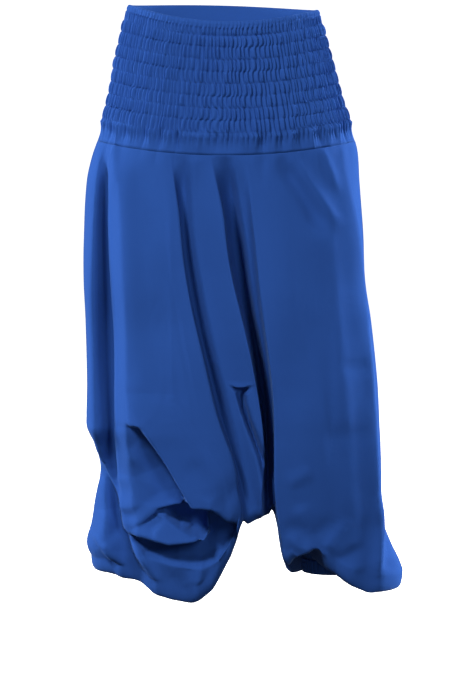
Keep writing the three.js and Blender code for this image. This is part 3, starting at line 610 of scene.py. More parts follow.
# The slumped leg on the viewer's left: points of its layers and creases, chain by chain. Each is a place
# across and up, then how far it stands out, and how far it is shifted across and up, so that an upper
# layer's edge hangs over what lies under it. What a point leaves out is 0. The points of a chain that is
# apart aren't joined by a line.
SLUMP_NET = [
    {"name": "upper layer", "points": [
        (-153, -643, 1, 0, -3), (-146, -644, 4, -2, -6), (-130, -646, 6, -3, -5), (-109, -679, 7, -5, -3),
        (-89, -709, 8, -5, -3), (-68, -743, 9, -5, -3), (-49, -774, 10, -3, -5), (-21, -775, 9, -1, -6),
        (-6, -785, 3, -4, -5), (5, -796, 0, -3, -5), (30, -802, -2, 0, -2)]},
    {"name": "sack's crest", "points": [(-24, -767, 9), (-8, -759, 6)]},
    {"name": "under the upper layer", "points": [
        (-156, -655, 0, 0, 1), (-149, -657, -5, 0, 4), (-139, -658, -13, 2, 3), (-119, -687, -27, 3, 2),
        (-100, -717, -36, 3, 2), (-79, -750, -34, 3, 2), (-58, -783, -44, 2, 3), (-23, -787, -48, 1, 4),
        (-14, -794, -46, 3, 3), (-1, -807, -42, 2, 4), (26, -814, -18, 1, 4)]},
    {"name": "pocket's top edge", "points": [
        (-147, -810, 1, 1, -2), (-132, -797, -2, 3, -3), (-109, -779, -6, 2, -4), (-83, -772, -10, 1, -4),
        (-60, -768, -16, 1, -4)]},
    {"name": "under the pocket's top", "points": [
        (-137, -814, -3, -1, 1), (-125, -806, -10, -2, 2), (-104, -789, -26, -1, 3),
        (-81, -781, -36, -1, 3), (-59, -777, -42, -1, 3)]},
    {"name": "pocket's floor", "points": [
        (-84, -793, -46), (-70, -804, -50), (-51, -795, -56), (-52, -814, -52), (-36, -817, -52),
        (-25, -814, -46)]},
    {"name": "flap's crease", "points": [
        (-144, -819, -2), (-108, -790, -9), (-88, -804, -5), (-70, -817, -3), (-53, -826, -2),
        (-36, -829)]},
    {"name": "flap's edge", "points": [
        (-147, -822, 1, 0, -2), (-137, -822, 3, -1, -5), (-121, -825, 5, -1, -5), (-103, -830, 7, -1, -5),
        (-88, -834, 9, 0, -5), (-62, -831, 7, 1, -5), (-34, -826, 4, 2, -4), (-29, -815, -14, 4, -2)]},
    {"name": "under the flap", "points": [
        (-148, -829, -4, 0, 2), (-138, -833, -22, 1, 4), (-123, -836, -36, 1, 4), (-106, -842, -46, 1, 4),
        (-88, -846, -52, 0, 4), (-60, -843, -54, -1, 4), (-28, -838, -56, -2, 4),
        (-13, -821, -52, -3, 3)]},
    {"name": "dark floor's end", "points": [
        (-140, -838, -18), (-122, -852, -28), (-82, -860, -30), (-35, -862, -30), (-8, -844, -36),
        (13, -821, -28)]},
    {"name": "balloon's brow", "points": [
        (-130, -860, -2), (-109, -866), (-77, -874, 2), (-35, -879), (-6, -862, -4), (17, -834, -6)]},
    {"name": "balloon's left ridge", "points": [
        (-151, -829, 2), (-139, -847, 7, -1, -1), (-124, -871, 9, -1, -1), (-107, -894, 9, -1, -1),
        (-91, -916, 6, -1, -1)]},
    {"name": "left of the balloon", "points": [
        (-163, -828, -3, 1, 0), (-153, -852, -3, 1, 0), (-138, -877, -2, 1, 0), (-121, -901, -2, 1, 0),
        (-105, -922, -3)]},
    {"name": "balloon's middle", "points": [(-77, -915, 4), (-56, -899, 6), (-35, -897, 5)]},
    {"name": "side tuck's edge", "points": [
        (-190, -712, 0, -5, -2), (-179, -738, 3, -5, -2), (-167, -765, 4, -5, -2), (-161, -787, 5, -5, -1),
        (-157, -816, 5, -5, -1)]},
    {"name": "under the side tuck", "points": [
        (-201, -719, -6, 4, 2), (-190, -746, -12, 4, 2), (-180, -771, -16, 4, 1), (-175, -791, -16, 4, 1),
        (-170, -820, -12, 4, 1)]},
    {"name": "rear fold", "points": [
        (-212, -834, 3, -2, -2), (-196, -847, 6, -2, -2), (-178, -863, 7, -2, -2), (-162, -876, 6, -2, -2),
        (-146, -890, 3, -2, -2)]},
    {"name": "under the rear fold", "points": [
        (-215, -843, -1, 1, 2), (-200, -855, -6, 1, 2), (-183, -871, -8, 1, 1), (-167, -885, -6, 1, 2),
        (-152, -896, -2, 1, 2)]},
    {"name": "recess", "apart": True, "points": [
        (-153, -693, -2), (-151, -756, -2), (-149, -798, -2), (-140, -693, -9), (-140, -735, -7),
        (-130, -777, -7), (-98, -756, -24), (-88, -769, -18)]},
    {"name": "border", "apart": True, "points": [
        (-156, -598), (-82, -598), (-30, -677), (12, -746), (49, -783), (-206, -756), (-187, -812),
        (-167, -857), (-130, -910), (-211, -796), (-88, -934), (-51, -936), (-22, -913), (-1, -875),
        (23, -832), (23, -814, -4), (-194, -889), (-182, -887), (-148, -901), (-219, -837), (-218, -651),
        (-200, -714), (-120, -926), (56, -804)]},
]
# A pucker in the middle fold: a short lip over a deep slit that dies away downwards, in the same form.
PUCKER_NET = [
    {"name": "lip", "points": [(8, -584), (16, -586, 2, 0, -3), (27, -586, 2, 0, -3), (36, -584)]},
    {"name": "under the lip", "points": [
        (17, -592, -9, 0, 1), (23, -593, -18, 0, 1), (29, -592, -12, 0, 1)]},
    {"name": "slit's left edge", "points": [
        (16, -598, 2, 1, 0), (20, -616, 3, 2, 0), (27, -640, 4, 2, 0), (36, -668, 4, 2, 0),
        (46, -700, 3, 2, 0), (55, -738, 1, 1, 0), (61, -766)]},
    {"name": "slit's bottom", "points": [
        (23, -599, -22), (27, -616, -27), (34, -640, -28), (43, -668, -27), (52, -700, -22),
        (60, -738, -12), (63, -764, -3)]},
    {"name": "slit's right edge", "points": [
        (31, -598, 2, -1, 0), (34, -616, 3, -2, 0), (41, -640, 3, -2, 0), (50, -668, 2, -2, 0),
        (58, -700, 0, -1, 0), (65, -738)]},
    {"name": "border", "apart": True, "points": [
        (-2, -578), (48, -578), (4, -640), (20, -690), (42, -738), (56, -780), (68, -780), (72, -738),
        (68, -700), (56, -650), (46, -602)]},
]
NET = {"step": 1.2, "fill": 4.0, "same place": 1e-3, "no area": 1e-6, "border": 1e-6}
PANEL_ROWS = {"upper": 60, "lower": 140, "split": 0.55, "crowd": 1.3, "turn": 38}
SHELL_GAP = 0.03
SEAM_ROUNDS = 4
PLEAT_FADE = 90.0
WAVES = [
    # size, length across, length down, height under which it grows: broad waves of worn cloth
    (1.1, 29, 61, 500), (0.9, 47, -38, 500), (0.5, 15, 24, -500),
]
WAVE_GROWTH = {"under the band": 120, "down the leg": 300}
PUCKERS = {"height": 2.6, "count": 15, "drift": 1.3, "drift turns": 9, "start": 0.5, "grown": 0.4,
           "end": 0.92, "gone": 0.08}


def line_value(lines, key, at, z):
    """Value of the fold lines at column place at and height z. Each line's value is a smooth curve down
    its levels. Across, x is straight between lines, and squared towards the side seams so that columns
    crowd there; out rises steeply from a crisp line and levels off at a soft one."""
    i = np.clip(np.floor(at).astype(int), 0, len(lines) - 2)
    t = at - i
    left, right = side_places(z)
    values = []
    for line in lines:
        if key in line:
            values.append(smooth_curve(LEVELS, line[key], z))
        elif key == "x":
            values.append(left if line["edge"] == 0 else right)
        else:
            values.append(np.zeros_like(z))
    values = np.stack(values)
    here = np.take_along_axis(values, i[None], 0)[0]
    after = np.take_along_axis(values, i[None] + 1, 0)[0]
    if key == "x":
        t = np.where(i == 0, t**2, np.where(i == len(lines) - 2, 1 - (1 - t) ** 2, t))
        return lerp(here, after, t)
    crisp = np.array([line.get("crisp", 0) for line in lines])
    start, end = crisp[i], crisp[i + 1]
    falling = np.sin(t * np.pi / 2)
    rising = 1 - np.cos(t * np.pi / 2)
    eased = np.where(start > end, falling, np.where(start < end, rising, ramp(t)))
    return lerp(here, after, np.where((start == 1) & (end == 1), t, eased))


def path_points(path):
    """Points along the parabola that passes through the path's three points, with the directions there and
    their shares of the way."""
    start, via, end = (np.array(p, float) for p in path)
    bend = 2 * via - 0.5 * start - 0.5 * end
    t = np.linspace(0, 1, PATH_SAMPLES + 1)[:, None]
    points = (1 - t) ** 2 * start + 2 * t * (1 - t) * bend + t**2 * end
    along = 2 * (1 - t) * (bend - start) + 2 * t * (end - bend)
    return points, along / np.linalg.norm(along, axis=1, keepdims=True), t[:, 0]


def near_path(path, x, z, reach):
    """Which points of the front view are in reach of the path and, for those: signed distance from it,
    positive to its right, distance beyond its ends, share along it, and the direction to its right."""
    points, along, t = path_points(path)
    low = points.min(0) - reach
    high = points.max(0) + reach
    inside = (x > low[0]) & (x < high[0]) & (z > low[1]) & (z < high[1])
    px, pz = x[inside], z[inside]
    dx = px[:, None] - points[None, :, 0]
    dz = pz[:, None] - points[None, :, 1]
    nearest = np.argmin(dx**2 + dz**2, axis=1)
    tangent = along[nearest]
    pick = np.arange(len(nearest))
    ax, az = dx[pick, nearest], dz[pick, nearest]
    beyond = np.abs(tangent[:, 0] * ax + tangent[:, 1] * az)
    rightward = np.stack([tangent[:, 1], -tangent[:, 0]], -1)
    return inside, rightward[:, 0] * ax + rightward[:, 1] * az, beyond, t[nearest], rightward


def laps(table, x, z):
    """How the laps move points of the front view: out, and sideways over their low sides. Above the edge
    the cloth rises over a set length; past it, it turns back within a short one and then lies hollow."""
    out = np.zeros_like(x)
    over = np.zeros(x.shape + (2,))
    for lap in table:
        inside, away, beyond, t, rightward = near_path(lap["path"], x, z, lap["reach"] + LAP["turn"])
        away = away * lap["side"]
        fade = ramp(t / LAP["fade"]) * ramp((1 - t) / LAP["fade"]) * np.clip(1 - beyond / lap["reach"], 0, 1)
        high = np.clip(1 + away / min(LAP["above"], lap["reach"]), 0, 1)
        turned = np.clip(away / LAP["turn"], 0, 1)
        settled = np.clip((away - LAP["turn"]) / lap["reach"], 0, 1)
        raised = np.where(away < 0, lap["rise"] * high ** LAP["high power"],
                          lerp(lap["rise"], -lap["hollow"], ramp(turned)) * (1 - ramp(settled)))
        push = np.where(away < 0, high**2, (1 - turned) ** LAP["push power"])
        out[inside] += fade * raised
        over[inside] += (fade * push * lap["lean"] * lap["side"])[:, None] * rightward
    return out, over


def creases(table, x, z):
    """Height of the placed creases: each a ridge or trough whose height is a bell across its path, pointed
    where sharp is under 1, and which tapers to nothing at both ends."""
    out = np.zeros_like(x)
    for start, via, end, height, width, sharp in table:
        inside, away, beyond, t, _ = near_path((start, via, end), x, z, width * CREASE["reach"])
        across = np.exp(-(np.hypot(away, beyond) / width) ** (2 * sharp))
        out[inside] += height * across * ramp(t / CREASE["taper"]) * ramp((1 - t) / CREASE["taper"])
    return out


def net_raster(chains):
    """A raster of the net: its chains filled in every few millimetres, joined into Delaunay triangles, with
    each triangle's values spread linearly over the raster and softened by averaging neighbours."""
    filled = []
    for chain in chains:
        points = np.array([(*point, 0, 0, 0)[:5] for point in chain["points"]], float)
        if chain.get("apart"):
            filled.append(points)
            continue
        filled.append(points[-1:])
        for start, end in zip(points, points[1:]):
            count = max(1, int(np.linalg.norm((end - start)[:2]) / NET["fill"]))
            filled.append(lerp(start, end, (np.arange(count) / count)[:, None]))
    points = np.unique(np.concatenate(filled), axis=0)
    corners, _, triangles = delaunay_2d_cdt([Vector(p[:2]) for p in points], [], [], 0,
                                              NET["same place"])[:3]
    places = np.array([tuple(corner) for corner in corners])
    low = places.min(0)
    size = np.ceil((places.max(0) - low) / NET["step"]).astype(int) + 1
    raster = np.zeros((size[1], size[0], 3))
    values = np.stack([points[np.argmin(np.hypot(*(points[:, :2] - place).T)), 2:] for place in places])
    for triangle in triangles:
        a, b, c = places[list(triangle)]
        area = (b[0] - a[0]) * (c[1] - a[1]) - (c[0] - a[0]) * (b[1] - a[1])
        if abs(area) < NET["no area"]:
            continue
        first = np.floor((np.min([a, b, c], 0) - low) / NET["step"]).astype(int)
        last = np.ceil((np.max([a, b, c], 0) - low) / NET["step"]).astype(int) + 1
        rows, columns = np.mgrid[first[1]:min(last[1], size[1]), first[0]:min(last[0], size[0])]
        px = low[0] + columns * NET["step"]
        pz = low[1] + rows * NET["step"]
        wb = ((px - a[0]) * (c[1] - a[1]) - (c[0] - a[0]) * (pz - a[1])) / area
        wc = ((b[0] - a[0]) * (pz - a[1]) - (px - a[0]) * (b[1] - a[1])) / area
        inside = (wb >= -NET["border"]) & (wc >= -NET["border"]) & (wb + wc <= 1 + NET["border"])
        weights = np.stack([1 - wb - wc, wb, wc], -1)[inside]
        raster[rows[inside], columns[inside]] = weights @ values[list(triangle)]
    padded = np.pad(raster, ((1, 1), (1, 1), (0, 0)), "edge")
    beside = padded[:-2, 1:-1] + padded[2:, 1:-1] + padded[1:-1, :-2] + padded[1:-1, 2:]
    return low, (beside + 2 * raster) / 6


def net_values(low, raster, x, z):
    """The raster's values at points of the front view, between its cells by their shares, and none
    outside it."""
    across = (x - low[0]) / NET["step"]
    up = (z - low[1]) / NET["step"]
    inside = (across >= 0) & (across < raster.shape[1] - 1) & (up >= 0) & (up < raster.shape[0] - 1)
    i = np.clip(np.floor(across).astype(int), 0, raster.shape[1] - 2)
    k = np.clip(np.floor(up).astype(int), 0, raster.shape[0] - 2)
    s, t = (across - i)[..., None], (up - k)[..., None]
    lower = lerp(raster[k, i], raster[k, i + 1], s)
    upper = lerp(raster[k + 1, i], raster[k + 1, i + 1], s)
    return lerp(lower, upper, t) * inside[..., None]


def bezier(start, leaving, arriving, end, t):
    """Cubic Bezier curve from start to end: the four points weigh as the terms of (1 - t) plus t, cubed."""
    return (1 - t) ** 3 * start + 3 * t * (1 - t) ** 2 * leaving + 3 * t**2 * (1 - t) * arriving + t**3 * end


def lower_edge(sign, share):
    """The edge where a panel ends: round half of one cuff, up the inseam to the crotch, down again and
    round half of the other. Gives its points, the directions in which the cloth arrives there, and a
    footing of 1 on the cuffs that falls to 0 a little way up the inseam."""
    reach = CUFF["radius"] - CUFF["overlap"]
    z0 = CUFF["top"] + CUFF["gap"]
    on_left = share <= EDGE_SHARES["left cuff"]
    on_right = share >= EDGE_SHARES["right cuff"]
    turn_left = np.pi * (1 - share / EDGE_SHARES["left cuff"])
    turn_right = np.pi * (1 - (share - EDGE_SHARES["right cuff"]) / (1 - EDGE_SHARES["right cuff"]))
    angle = np.where(on_left, turn_left, turn_right)
    centre = np.where(on_left, CUFF_X["left"], CUFF_X["right"])
    arrive = np.where(on_left, np.maximum(angle, np.pi / 4), np.minimum(angle, np.pi * 0.75))
    to_left = share < EDGE_SHARES["crotch"]
    side = np.where(to_left, 1.0, -1.0)
    foot = np.where(to_left, CUFF_X["left"], CUFF_X["right"]) + side * reach
    foot_reach = np.where(to_left, INSEAM["left reach"], INSEAM["right reach"])
    top_reach = np.where(to_left, INSEAM["left top"], INSEAM["right top"])
    up_left = (share - EDGE_SHARES["left cuff"]) / (EDGE_SHARES["crotch"] - EDGE_SHARES["left cuff"])
    up_right = (EDGE_SHARES["right cuff"] - share) / (EDGE_SHARES["right cuff"] - EDGE_SHARES["crotch"])
    t = np.clip(np.where(to_left, up_left, up_right), 0, 1)
    inseam_x = bezier(foot, foot + side * foot_reach, CROTCH["x"] - side * top_reach, CROTCH["x"], t)
    inseam_z = bezier(z0, z0 - INSEAM["dip"], CROTCH["z"], CROTCH["z"], t)
    turn = np.pi / 4 * (1 + np.clip(t / INSEAM["foot"], 0, 1))
    cuff = on_left | on_right
    footing = np.where(cuff, 1.0, np.clip(1 - t / INSEAM["foot"], 0, 1))
    x = np.where(cuff, centre + reach * np.cos(angle), inseam_x)
    y = np.where(cuff, reach * np.sin(angle), 0.0) + SHELL_GAP
    z = np.where(cuff, z0, inseam_z)
    arrive_x = np.where(cuff, np.cos(arrive), side * np.cos(turn))
    arrive_y = np.where(cuff, np.sin(arrive), np.sin(turn))
    points = np.stack([x, sign * y, z], -1)
    return points, np.stack([arrive_x, sign * arrive_y, 0 * x], -1), footing


def column_places(steps):
    """Column places from one fold line to the next, with as many steps between them as given."""
    places = [i + np.arange(count) / count for i, count in enumerate(steps)]
    return np.concatenate(places + [[float(len(steps))]])


def outward_normals(points, sign):
    """Unit normals of a grid of points, facing out of the front (sign -1) or the back (sign 1)."""
    across = np.gradient(points, axis=1)
    down = np.gradient(points, axis=0)
    normals = sign * np.cross(across, down)
    normals[:, [0, -1], 1] = 0
    return normals / np.maximum(np.linalg.norm(normals, axis=-1, keepdims=True), 1e-9)


def small_relief(sign, x, z, share, below, crease_table, phase):
    """How far small forms stand out along a panel's normals: the pleats that run down from the band, the
    groove of its seam, and away from the side seams the placed creases and broad waves."""
    half = np.arccos(1 - 2 * share) / np.pi
    ring_turn = half / 2 if sign < 0 else 1 - half / 2
    fine = pleats(ring_turn, STRIP_LENGTH + below) * np.exp(-below / PLEAT_FADE)
    fine -= SEAM_GROOVE["depth"] * np.exp(-(below / SEAM_GROOVE["panel reach"]) ** 2)
    wave = sum(size * np.sin(x / across + z / along + (k + 1) * phase)
               * ramp((top - z) / WAVE_GROWTH["down the leg"])
               for k, (size, across, along, top) in enumerate(WAVES))
    wave = wave * ramp(below / WAVE_GROWTH["under the band"])
    from_side = ramp(np.minimum(share, 1 - share) / SIDE_FADE)
    return fine + (creases(crease_table, x, z) + wave) * from_side


def cuff_puckers(edge_share, footing, b):
    """Height of the puckers that the ankle elastic draws into the cloth above a cuff: humps round it that
    grow along the turned-under rows and end short of the edge."""
    around = np.where(edge_share <= EDGE_SHARES["left cuff"], edge_share / EDGE_SHARES["left cuff"],
                      (edge_share - EDGE_SHARES["right cuff"]) / (1 - EDGE_SHARES["right cuff"]))
    drift = PUCKERS["drift"] * np.sin(PUCKERS["drift turns"] * around)
    humps = hump(2 * np.pi * PUCKERS["count"] * around + drift) - 0.5
    height = np.where(footing == 1, PUCKERS["height"] * humps, 0.0)
    grown = ramp((b - PUCKERS["start"]) / PUCKERS["grown"])
    return height * (grown * (1 - ramp((b - PUCKERS["end"]) / PUCKERS["gone"])))


def under_hem(start, low, loose, rise, edge, b):
    """Points of the cloth that turns under: in each column a Bezier curve from the hanging cloth's last
    point, down past the hem, to the lower edge in the direction in which the cloth arrives there."""
    ends, arrive, footing = edge
    sink = np.maximum(0, low - ends[:, 2])
    under = start.copy()
    under[:, 2] = low - TURN["drop"] * loose - TURN["follow"] * rise
    arrival = ends + arrive * (TURN["reach"] * (1 - ramp(sink / TURN["reach"])))[:, None]
    arrival[:, 2] += (TURN["lift"] + TURN["lift follow"] * rise) * footing + sink
    return bezier(start, under, arrival, ends, b)


def panel_surface(sign, lines, steps, lap_table, crease_table, phase, nets=()):
    """Outer points of a panel. Each column hangs from the band's seam through the section points that the
    fold lines and laps give, moved by the nets where they lie, then follows a cubic Bezier curve under
    the hem to the lower edge. Small relief and the puckers over the cuffs then move points along the
    normals."""
    at = column_places(steps)
    i = np.clip(np.floor(at).astype(int), 0, len(lines) - 2)
    t = at - i
    lows = np.array([line["low"] for line in lines], float)
    edges = np.array([line["edge"] for line in lines], float)
    leans = np.array([line.get("lean", 0) for line in lines], float)
    low = smooth_curve(-np.arange(len(lines)), lows, -at)
    edge_share = lerp(edges[i], edges[i + 1], t)
    top = np.full(len(at), float(BAND_SEAM["side"]))
    for _ in range(SEAM_ROUNDS):
        left, right = side_places(top)
        top = seam_height(sign, np.clip((line_value(lines, "x", at, top) - left) / (right - left), 0, 1))
    upper = np.arange(PANEL_ROWS["upper"]) / PANEL_ROWS["upper"]
    upper = PANEL_ROWS["split"] * upper ** PANEL_ROWS["crowd"]
    lower = np.linspace(PANEL_ROWS["split"], 1, PANEL_ROWS["lower"])
    down, at_grid = np.meshgrid(np.concatenate([upper, lower]), at, indexing="ij")
    edge = lower_edge(sign, edge_share)
    edge_height = edge[0][:, 2]
    loose = 1 - TURN["tight"] * ramp(np.maximum(0, low - edge_height) / TURN["tight over"])
    z = lerp(top, low + TURN["start"] * loose, down)
    x = line_value(lines, "x", at_grid, z)
    lap_out, lap_over = laps(lap_table, x, z)
    onset = np.sin(np.clip(down / FOLD_START, 0, 1) * np.pi / 2)
    out = (line_value(lines, "out", at_grid, z) + lap_out) * onset
    left, right = side_places(z)
    share = np.clip((x - left) / (right - left), 0, 1)
    hang = section_point(sign, share, z, out)
    hang[..., 1] += sign * (SHELL_GAP + line_value(lines, "forward", at_grid, z) * onset)
    lean = lerp(leans[i] * (1 - t) ** 2, leans[i + 1] * t**2, t)
    fading = 1 - ramp((down - LEAN_RUN["fading"]) / LEAN_RUN["over"])
    hang[..., 0] += lean * ramp(down / LEAN_RUN["grown"]) * fading * roundness(share)
    hang[..., 0] += lap_over[..., 0] * roundness(share)
    hang[..., 2] += lap_over[..., 1]
    for net in nets:
        moved = net_values(*net, x, z) * ramp(np.minimum(share, 1 - share) / SIDE_FADE)[..., None]
        hang[..., 1] += sign * moved[..., 0]
        hang[..., 0] += moved[..., 1]
        hang[..., 2] += moved[..., 2]
    b = np.linspace(0, 1, PANEL_ROWS["turn"] + 1)[1:, None, None]
    turned = under_hem(hang[-1], low, loose, np.maximum(0, edge_height - low), edge, b)
    points = np.concatenate([hang, turned])
    normals = outward_normals(points, sign)
    fine = small_relief(sign, x, z, share, top - z, crease_table, phase)
    tail = np.repeat(fine[-1:], PANEL_ROWS["turn"], axis=0) * (1 - ramp(b[:, :, 0] / PUCKERS["start"]))
    tail += cuff_puckers(edge_share, edge[2], b[:, :, 0])
    return points + normals * np.concatenate([fine, tail])[..., None]


panel_cloth = poplin("poplin", WEAVE_DEPTH, crumple_depth=0.0022, crumple_size=16.0)
FRONT_FLAT = (0.80, 0.86)
front_nets = [net_raster(SLUMP_NET), net_raster(PUCKER_NET)]
front_points = panel_surface(-1.0, FRONT_LINES, FRONT_STEPS, [], FRONT_CREASES, 0.4, front_nets)
front_panel = cloth_piece("front_cloth", front_points, panel_cloth, FRONT_FLAT)
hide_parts("front_panel", "front_leg_left", "front_leg_right")

# Back panel. The same wide piece as the front, joined to it at the sides and inseam. Its folds are longer
# and softer, with one slump on the same leg as in front.
BACK_LINES = [
    {"name": "left side", "low": -903, "edge": 0.0},
    {"name": "fold 1", "x": (-176, -184, -178, -170, -152), "out": (0, -8, -14, -8, 0), "low": -905,
     "edge": 0.1},
    {"name": "fold 2", "x": (-130, -128, -122, -118, -112), "out": (4, 8, 10, 8, 6), "low": -915,
     "edge": 0.2},
    {"name": "fold 3", "x": (-85, -82, -78, -76, -76), "out": (-4, -14, -18, -10, 0), "low": -920,
     "edge": 0.29},
    {"name": "fold 4", "x": (-45, -40, -38, -40, -46), "out": (4, 6, 8, 6, 4), "low": -912, "edge": 0.35,
     "crisp": 1, "lean": 3},
    {"name": "fold 5", "x": (-15, -8, -4, -2, -12), "out": (-4, -12, -20, -14, 0), "low": -880,
     "edge": 0.43},
    {"name": "fold 6", "x": (15, 22, 24, 26, 22), "out": (4, 6, 6, 4, 0), "low": -812, "edge": 0.475,
     "crisp": 1, "lean": 3},
    {"name": "fold 7", "x": (40, 48, 50, 50, 50), "out": (-4, -12, -22, -18, 0), "low": -803, "edge": 0.5},
    {"name": "fold 8", "x": (65, 74, 76, 76, 76), "out": (4, 6, 6, 4, 0), "low": -815, "edge": 0.53,
     "crisp": 1, "lean": -3},
    {"name": "fold 9", "x": (95, 104, 106, 102, 100), "out": (-4, -10, -16, -10, 0), "low": -914,
     "edge": 0.585},
    {"name": "fold 10", "x": (130, 142, 146, 146, 146), "out": (4, 6, 8, 6, 4), "low": -922, "edge": 0.66},
    {"name": "fold 11", "x": (160, 178, 182, 184, 186), "out": (-4, -10, -14, -8, 0), "low": -912,
     "edge": 0.78},
    {"name": "fold 12", "x": (186, 206, 218, 222, 226), "out": (2, 4, 6, 6, 6), "low": -910, "edge": 0.9,
     "crisp": 1},
    {"name": "right side", "low": -928, "edge": 1.0},
]
BACK_FLAT = (0.80, 0.84)
BACK_STEPS = (12, 12, 13, 12, 12, 12, 10, 10, 12, 13, 12, 12, 12)
BACK_LAPS = [
    # rise is above the edge, hollow below it, and side the side of the path that is below: 1 is its right
    {"name": "calf tuck", "path": ((-176, -700), (-120, -716), (-60, -800)), "side": 1,
     "rise": 5, "hollow": 14, "reach": 46, "lean": 7},
    {"name": "seat fold", "path": ((96, -560), (120, -700), (108, -800)), "side": -1,
     "rise": 4, "hollow": 9, "reach": 34, "lean": 6},
]
BACK_CREASES = [
    ((-150, -300), (-140, -430), (-150, -560), 3.0, 16, 1),
    ((-60, -260), (-52, -400), (-66, -520), 3.0, 14, 1),
    ((120, -280), (132, -420), (126, -560), -3.4, 16, 1), ((0, -640), (20, -720), (40, -790), -4.0, 12, 1),
    ((-100, -780), (-80, -830), (-60, -880), 4.0, 10, 0.9),
    ((150, -760), (170, -820), (190, -870), 3.4, 12, 0.9),
    ((-186, -640), (-196, -740), (-190, -830), -3.4, 12, 1),
    ((60, -720), (84, -760), (110, -776), 3.0, 10, 1), ((190, -420), (200, -540), (212, -640), 2.6, 14, 1),
    ((-30, -800), (-60, -830), (-110, -838), -3.0, 12, 1),
    ((130, -846), (164, -838), (204, -852), -3.0, 10, 1),
    ((-14, -236), (-22, -320), (-6, -400), -2.6, 14, 1),
]
back_points = panel_surface(1.0, BACK_LINES, BACK_STEPS, BACK_LAPS, BACK_CREASES, 2.1)
back_panel = cloth_piece("back_cloth", back_points[:, ::-1], panel_cloth, BACK_FLAT)
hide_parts("back_panel", "back_leg_left", "back_leg_right")

# Ankle cuffs. The end of each leg is turned up into a casing and drawn in by elastic, so that it gathers
# into small pleats all the way round.
CUFF_GRID = {"columns": 336, "rows": 20, "inner": 5}
CUFF_GATHERS = {"count": 42, "base": 0.5, "out": 2.0, "round": 0.5, "pinch": 0.7, "pinch at": 0.24,
                "pinch reach": 0.035}
CUFF_WANDER = {"far": 0.7, "turns": 5, "near": 0.5, "near turns": 11, "slant": 3}
CUFF_STITCH_ROW = 5
CUFF_FLAT = (0.38, 0.025)


def cuff_surface(centre):
    """A ring of round gathers, pinched at its top and bottom edges and at the casing's stitch line."""
    turns = np.arange(CUFF_GRID["columns"]) / CUFF_GRID["columns"] * 2 * np.pi
    shares, angles = np.meshgrid(np.linspace(0, 1, CUFF_GRID["rows"]), -turns, indexing="ij")
    far = CUFF_WANDER["far"] * np.sin(CUFF_WANDER["turns"] * angles + centre)
    near = CUFF_WANDER["near"] * np.sin(CUFF_WANDER["near turns"] * angles + CUFF_WANDER["slant"] * shares)
    gather = hump(CUFF_GATHERS["count"] * angles + far + near)
    swell = np.sin(np.pi * shares) ** CUFF_GATHERS["round"]
    from_stitches = (shares - CUFF_GATHERS["pinch at"]) / CUFF_GATHERS["pinch reach"]
    pinch = CUFF_GATHERS["pinch"] * np.exp(-from_stitches ** 2)
    radius = CUFF["radius"] + (CUFF_GATHERS["base"] + CUFF_GATHERS["out"] * gather) * swell - pinch
    z = CUFF["top"] - CUFF["height"] * shares
    outside = np.stack([centre + radius * np.cos(angles), radius * np.sin(angles), z], -1)
    shares, angles = np.meshgrid(np.linspace(1, 0, CUFF_GRID["inner"]), -turns, indexing="ij")
    radius = CUFF["radius"] - WALL
    inside = np.stack([centre + radius * np.cos(angles), radius * np.sin(angles),
                       CUFF["top"] - CUFF["height"] * shares], -1)
    return np.concatenate([outside, inside])


for side_name in ("left", "right"):
    ring = cuff_surface(CUFF_X[side_name])
    cuff_piece = cloth_piece(f"{side_name}_ankle_gathers", ring[:, ::-1], band_cloth, CUFF_FLAT, tube=True)
    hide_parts(f"ankle_cuff_{side_name}")

# Side seams. Front and back are joined by felled seams: their allowances are folded into each other and
# sewn down flat, which leaves a raised strip with a row of stitches near each of its edges.
SEAM_STRIP = {"reach": 3.2, "inner reach": 0.6, "edge": 0.25, "shoulder": 0.7, "crown": 0.95, "wall": 0.6}
SEAM_FLAT = (0.007, 0.84)
SEAM_COLUMNS = {"left": (0, 2), "right": (-1, -3)}


def side_strip(front_edge, front_next, back_next):
    """A raised strip over the seam between two panels, from the seam's points and the nearest points on
    either side. Its five lines of points rise from the front to the crown and fall to the back."""
    lines = []
    outward = front_edge - (front_next + back_next) / 2
    outward[:, 2] = 0
    outward /= np.maximum(np.linalg.norm(outward, axis=-1, keepdims=True), 1e-6)
    for neighbour, order in ((front_next, 1), (back_next, -1)):
        along = neighbour - front_edge
        along /= np.maximum(np.linalg.norm(along, axis=-1, keepdims=True), 1e-6)
        pair = [front_edge + along * SEAM_STRIP["reach"] + outward * SEAM_STRIP["edge"],
                front_edge + along * SEAM_STRIP["reach"] * SEAM_STRIP["inner reach"]
                + outward * SEAM_STRIP["shoulder"]]
        lines.append(pair[::order])
    crown = [front_edge + outward * SEAM_STRIP["crown"]]
    return np.stack(lines[0] + crown + lines[1], axis=1)


seam_lines = []
for seam_side, (edge, near) in SEAM_COLUMNS.items():
    strip = side_strip(front_points[:, edge], front_points[:, near], back_points[:, near])
    seam_lines.append(strip)
    outside = strip if edge else strip[:, ::-1]
    cloth_piece(f"{seam_side}_side_seam", outside, panel_cloth, SEAM_FLAT,
                                   wall=SEAM_STRIP["wall"])

# Stitching. Elastic thread runs along each row of the smocking, and the header, the ankle casings and the
# side seams are sewn with plain thread a shade darker than the cloth.
STITCH = {"length": 2.4, "pitch": 3.3, "thick": 0.32, "proud": 0.25, "look ahead": 0.6}
ROW_STITCHING = {"samples": 2400, "out": 0.1}
thread = bpy.data.materials.new("sewing thread")
thread.use_nodes = True
thread_shader = thread.node_tree.nodes["Principled BSDF"]
thread_shader.inputs["Base Color"].default_value = (0.012, 0.040, 0.180, 1.0)
thread_shader.inputs["Roughness"].default_value = 0.5
thread_shader.inputs["Specular IOR Level"].default_value = 0.2


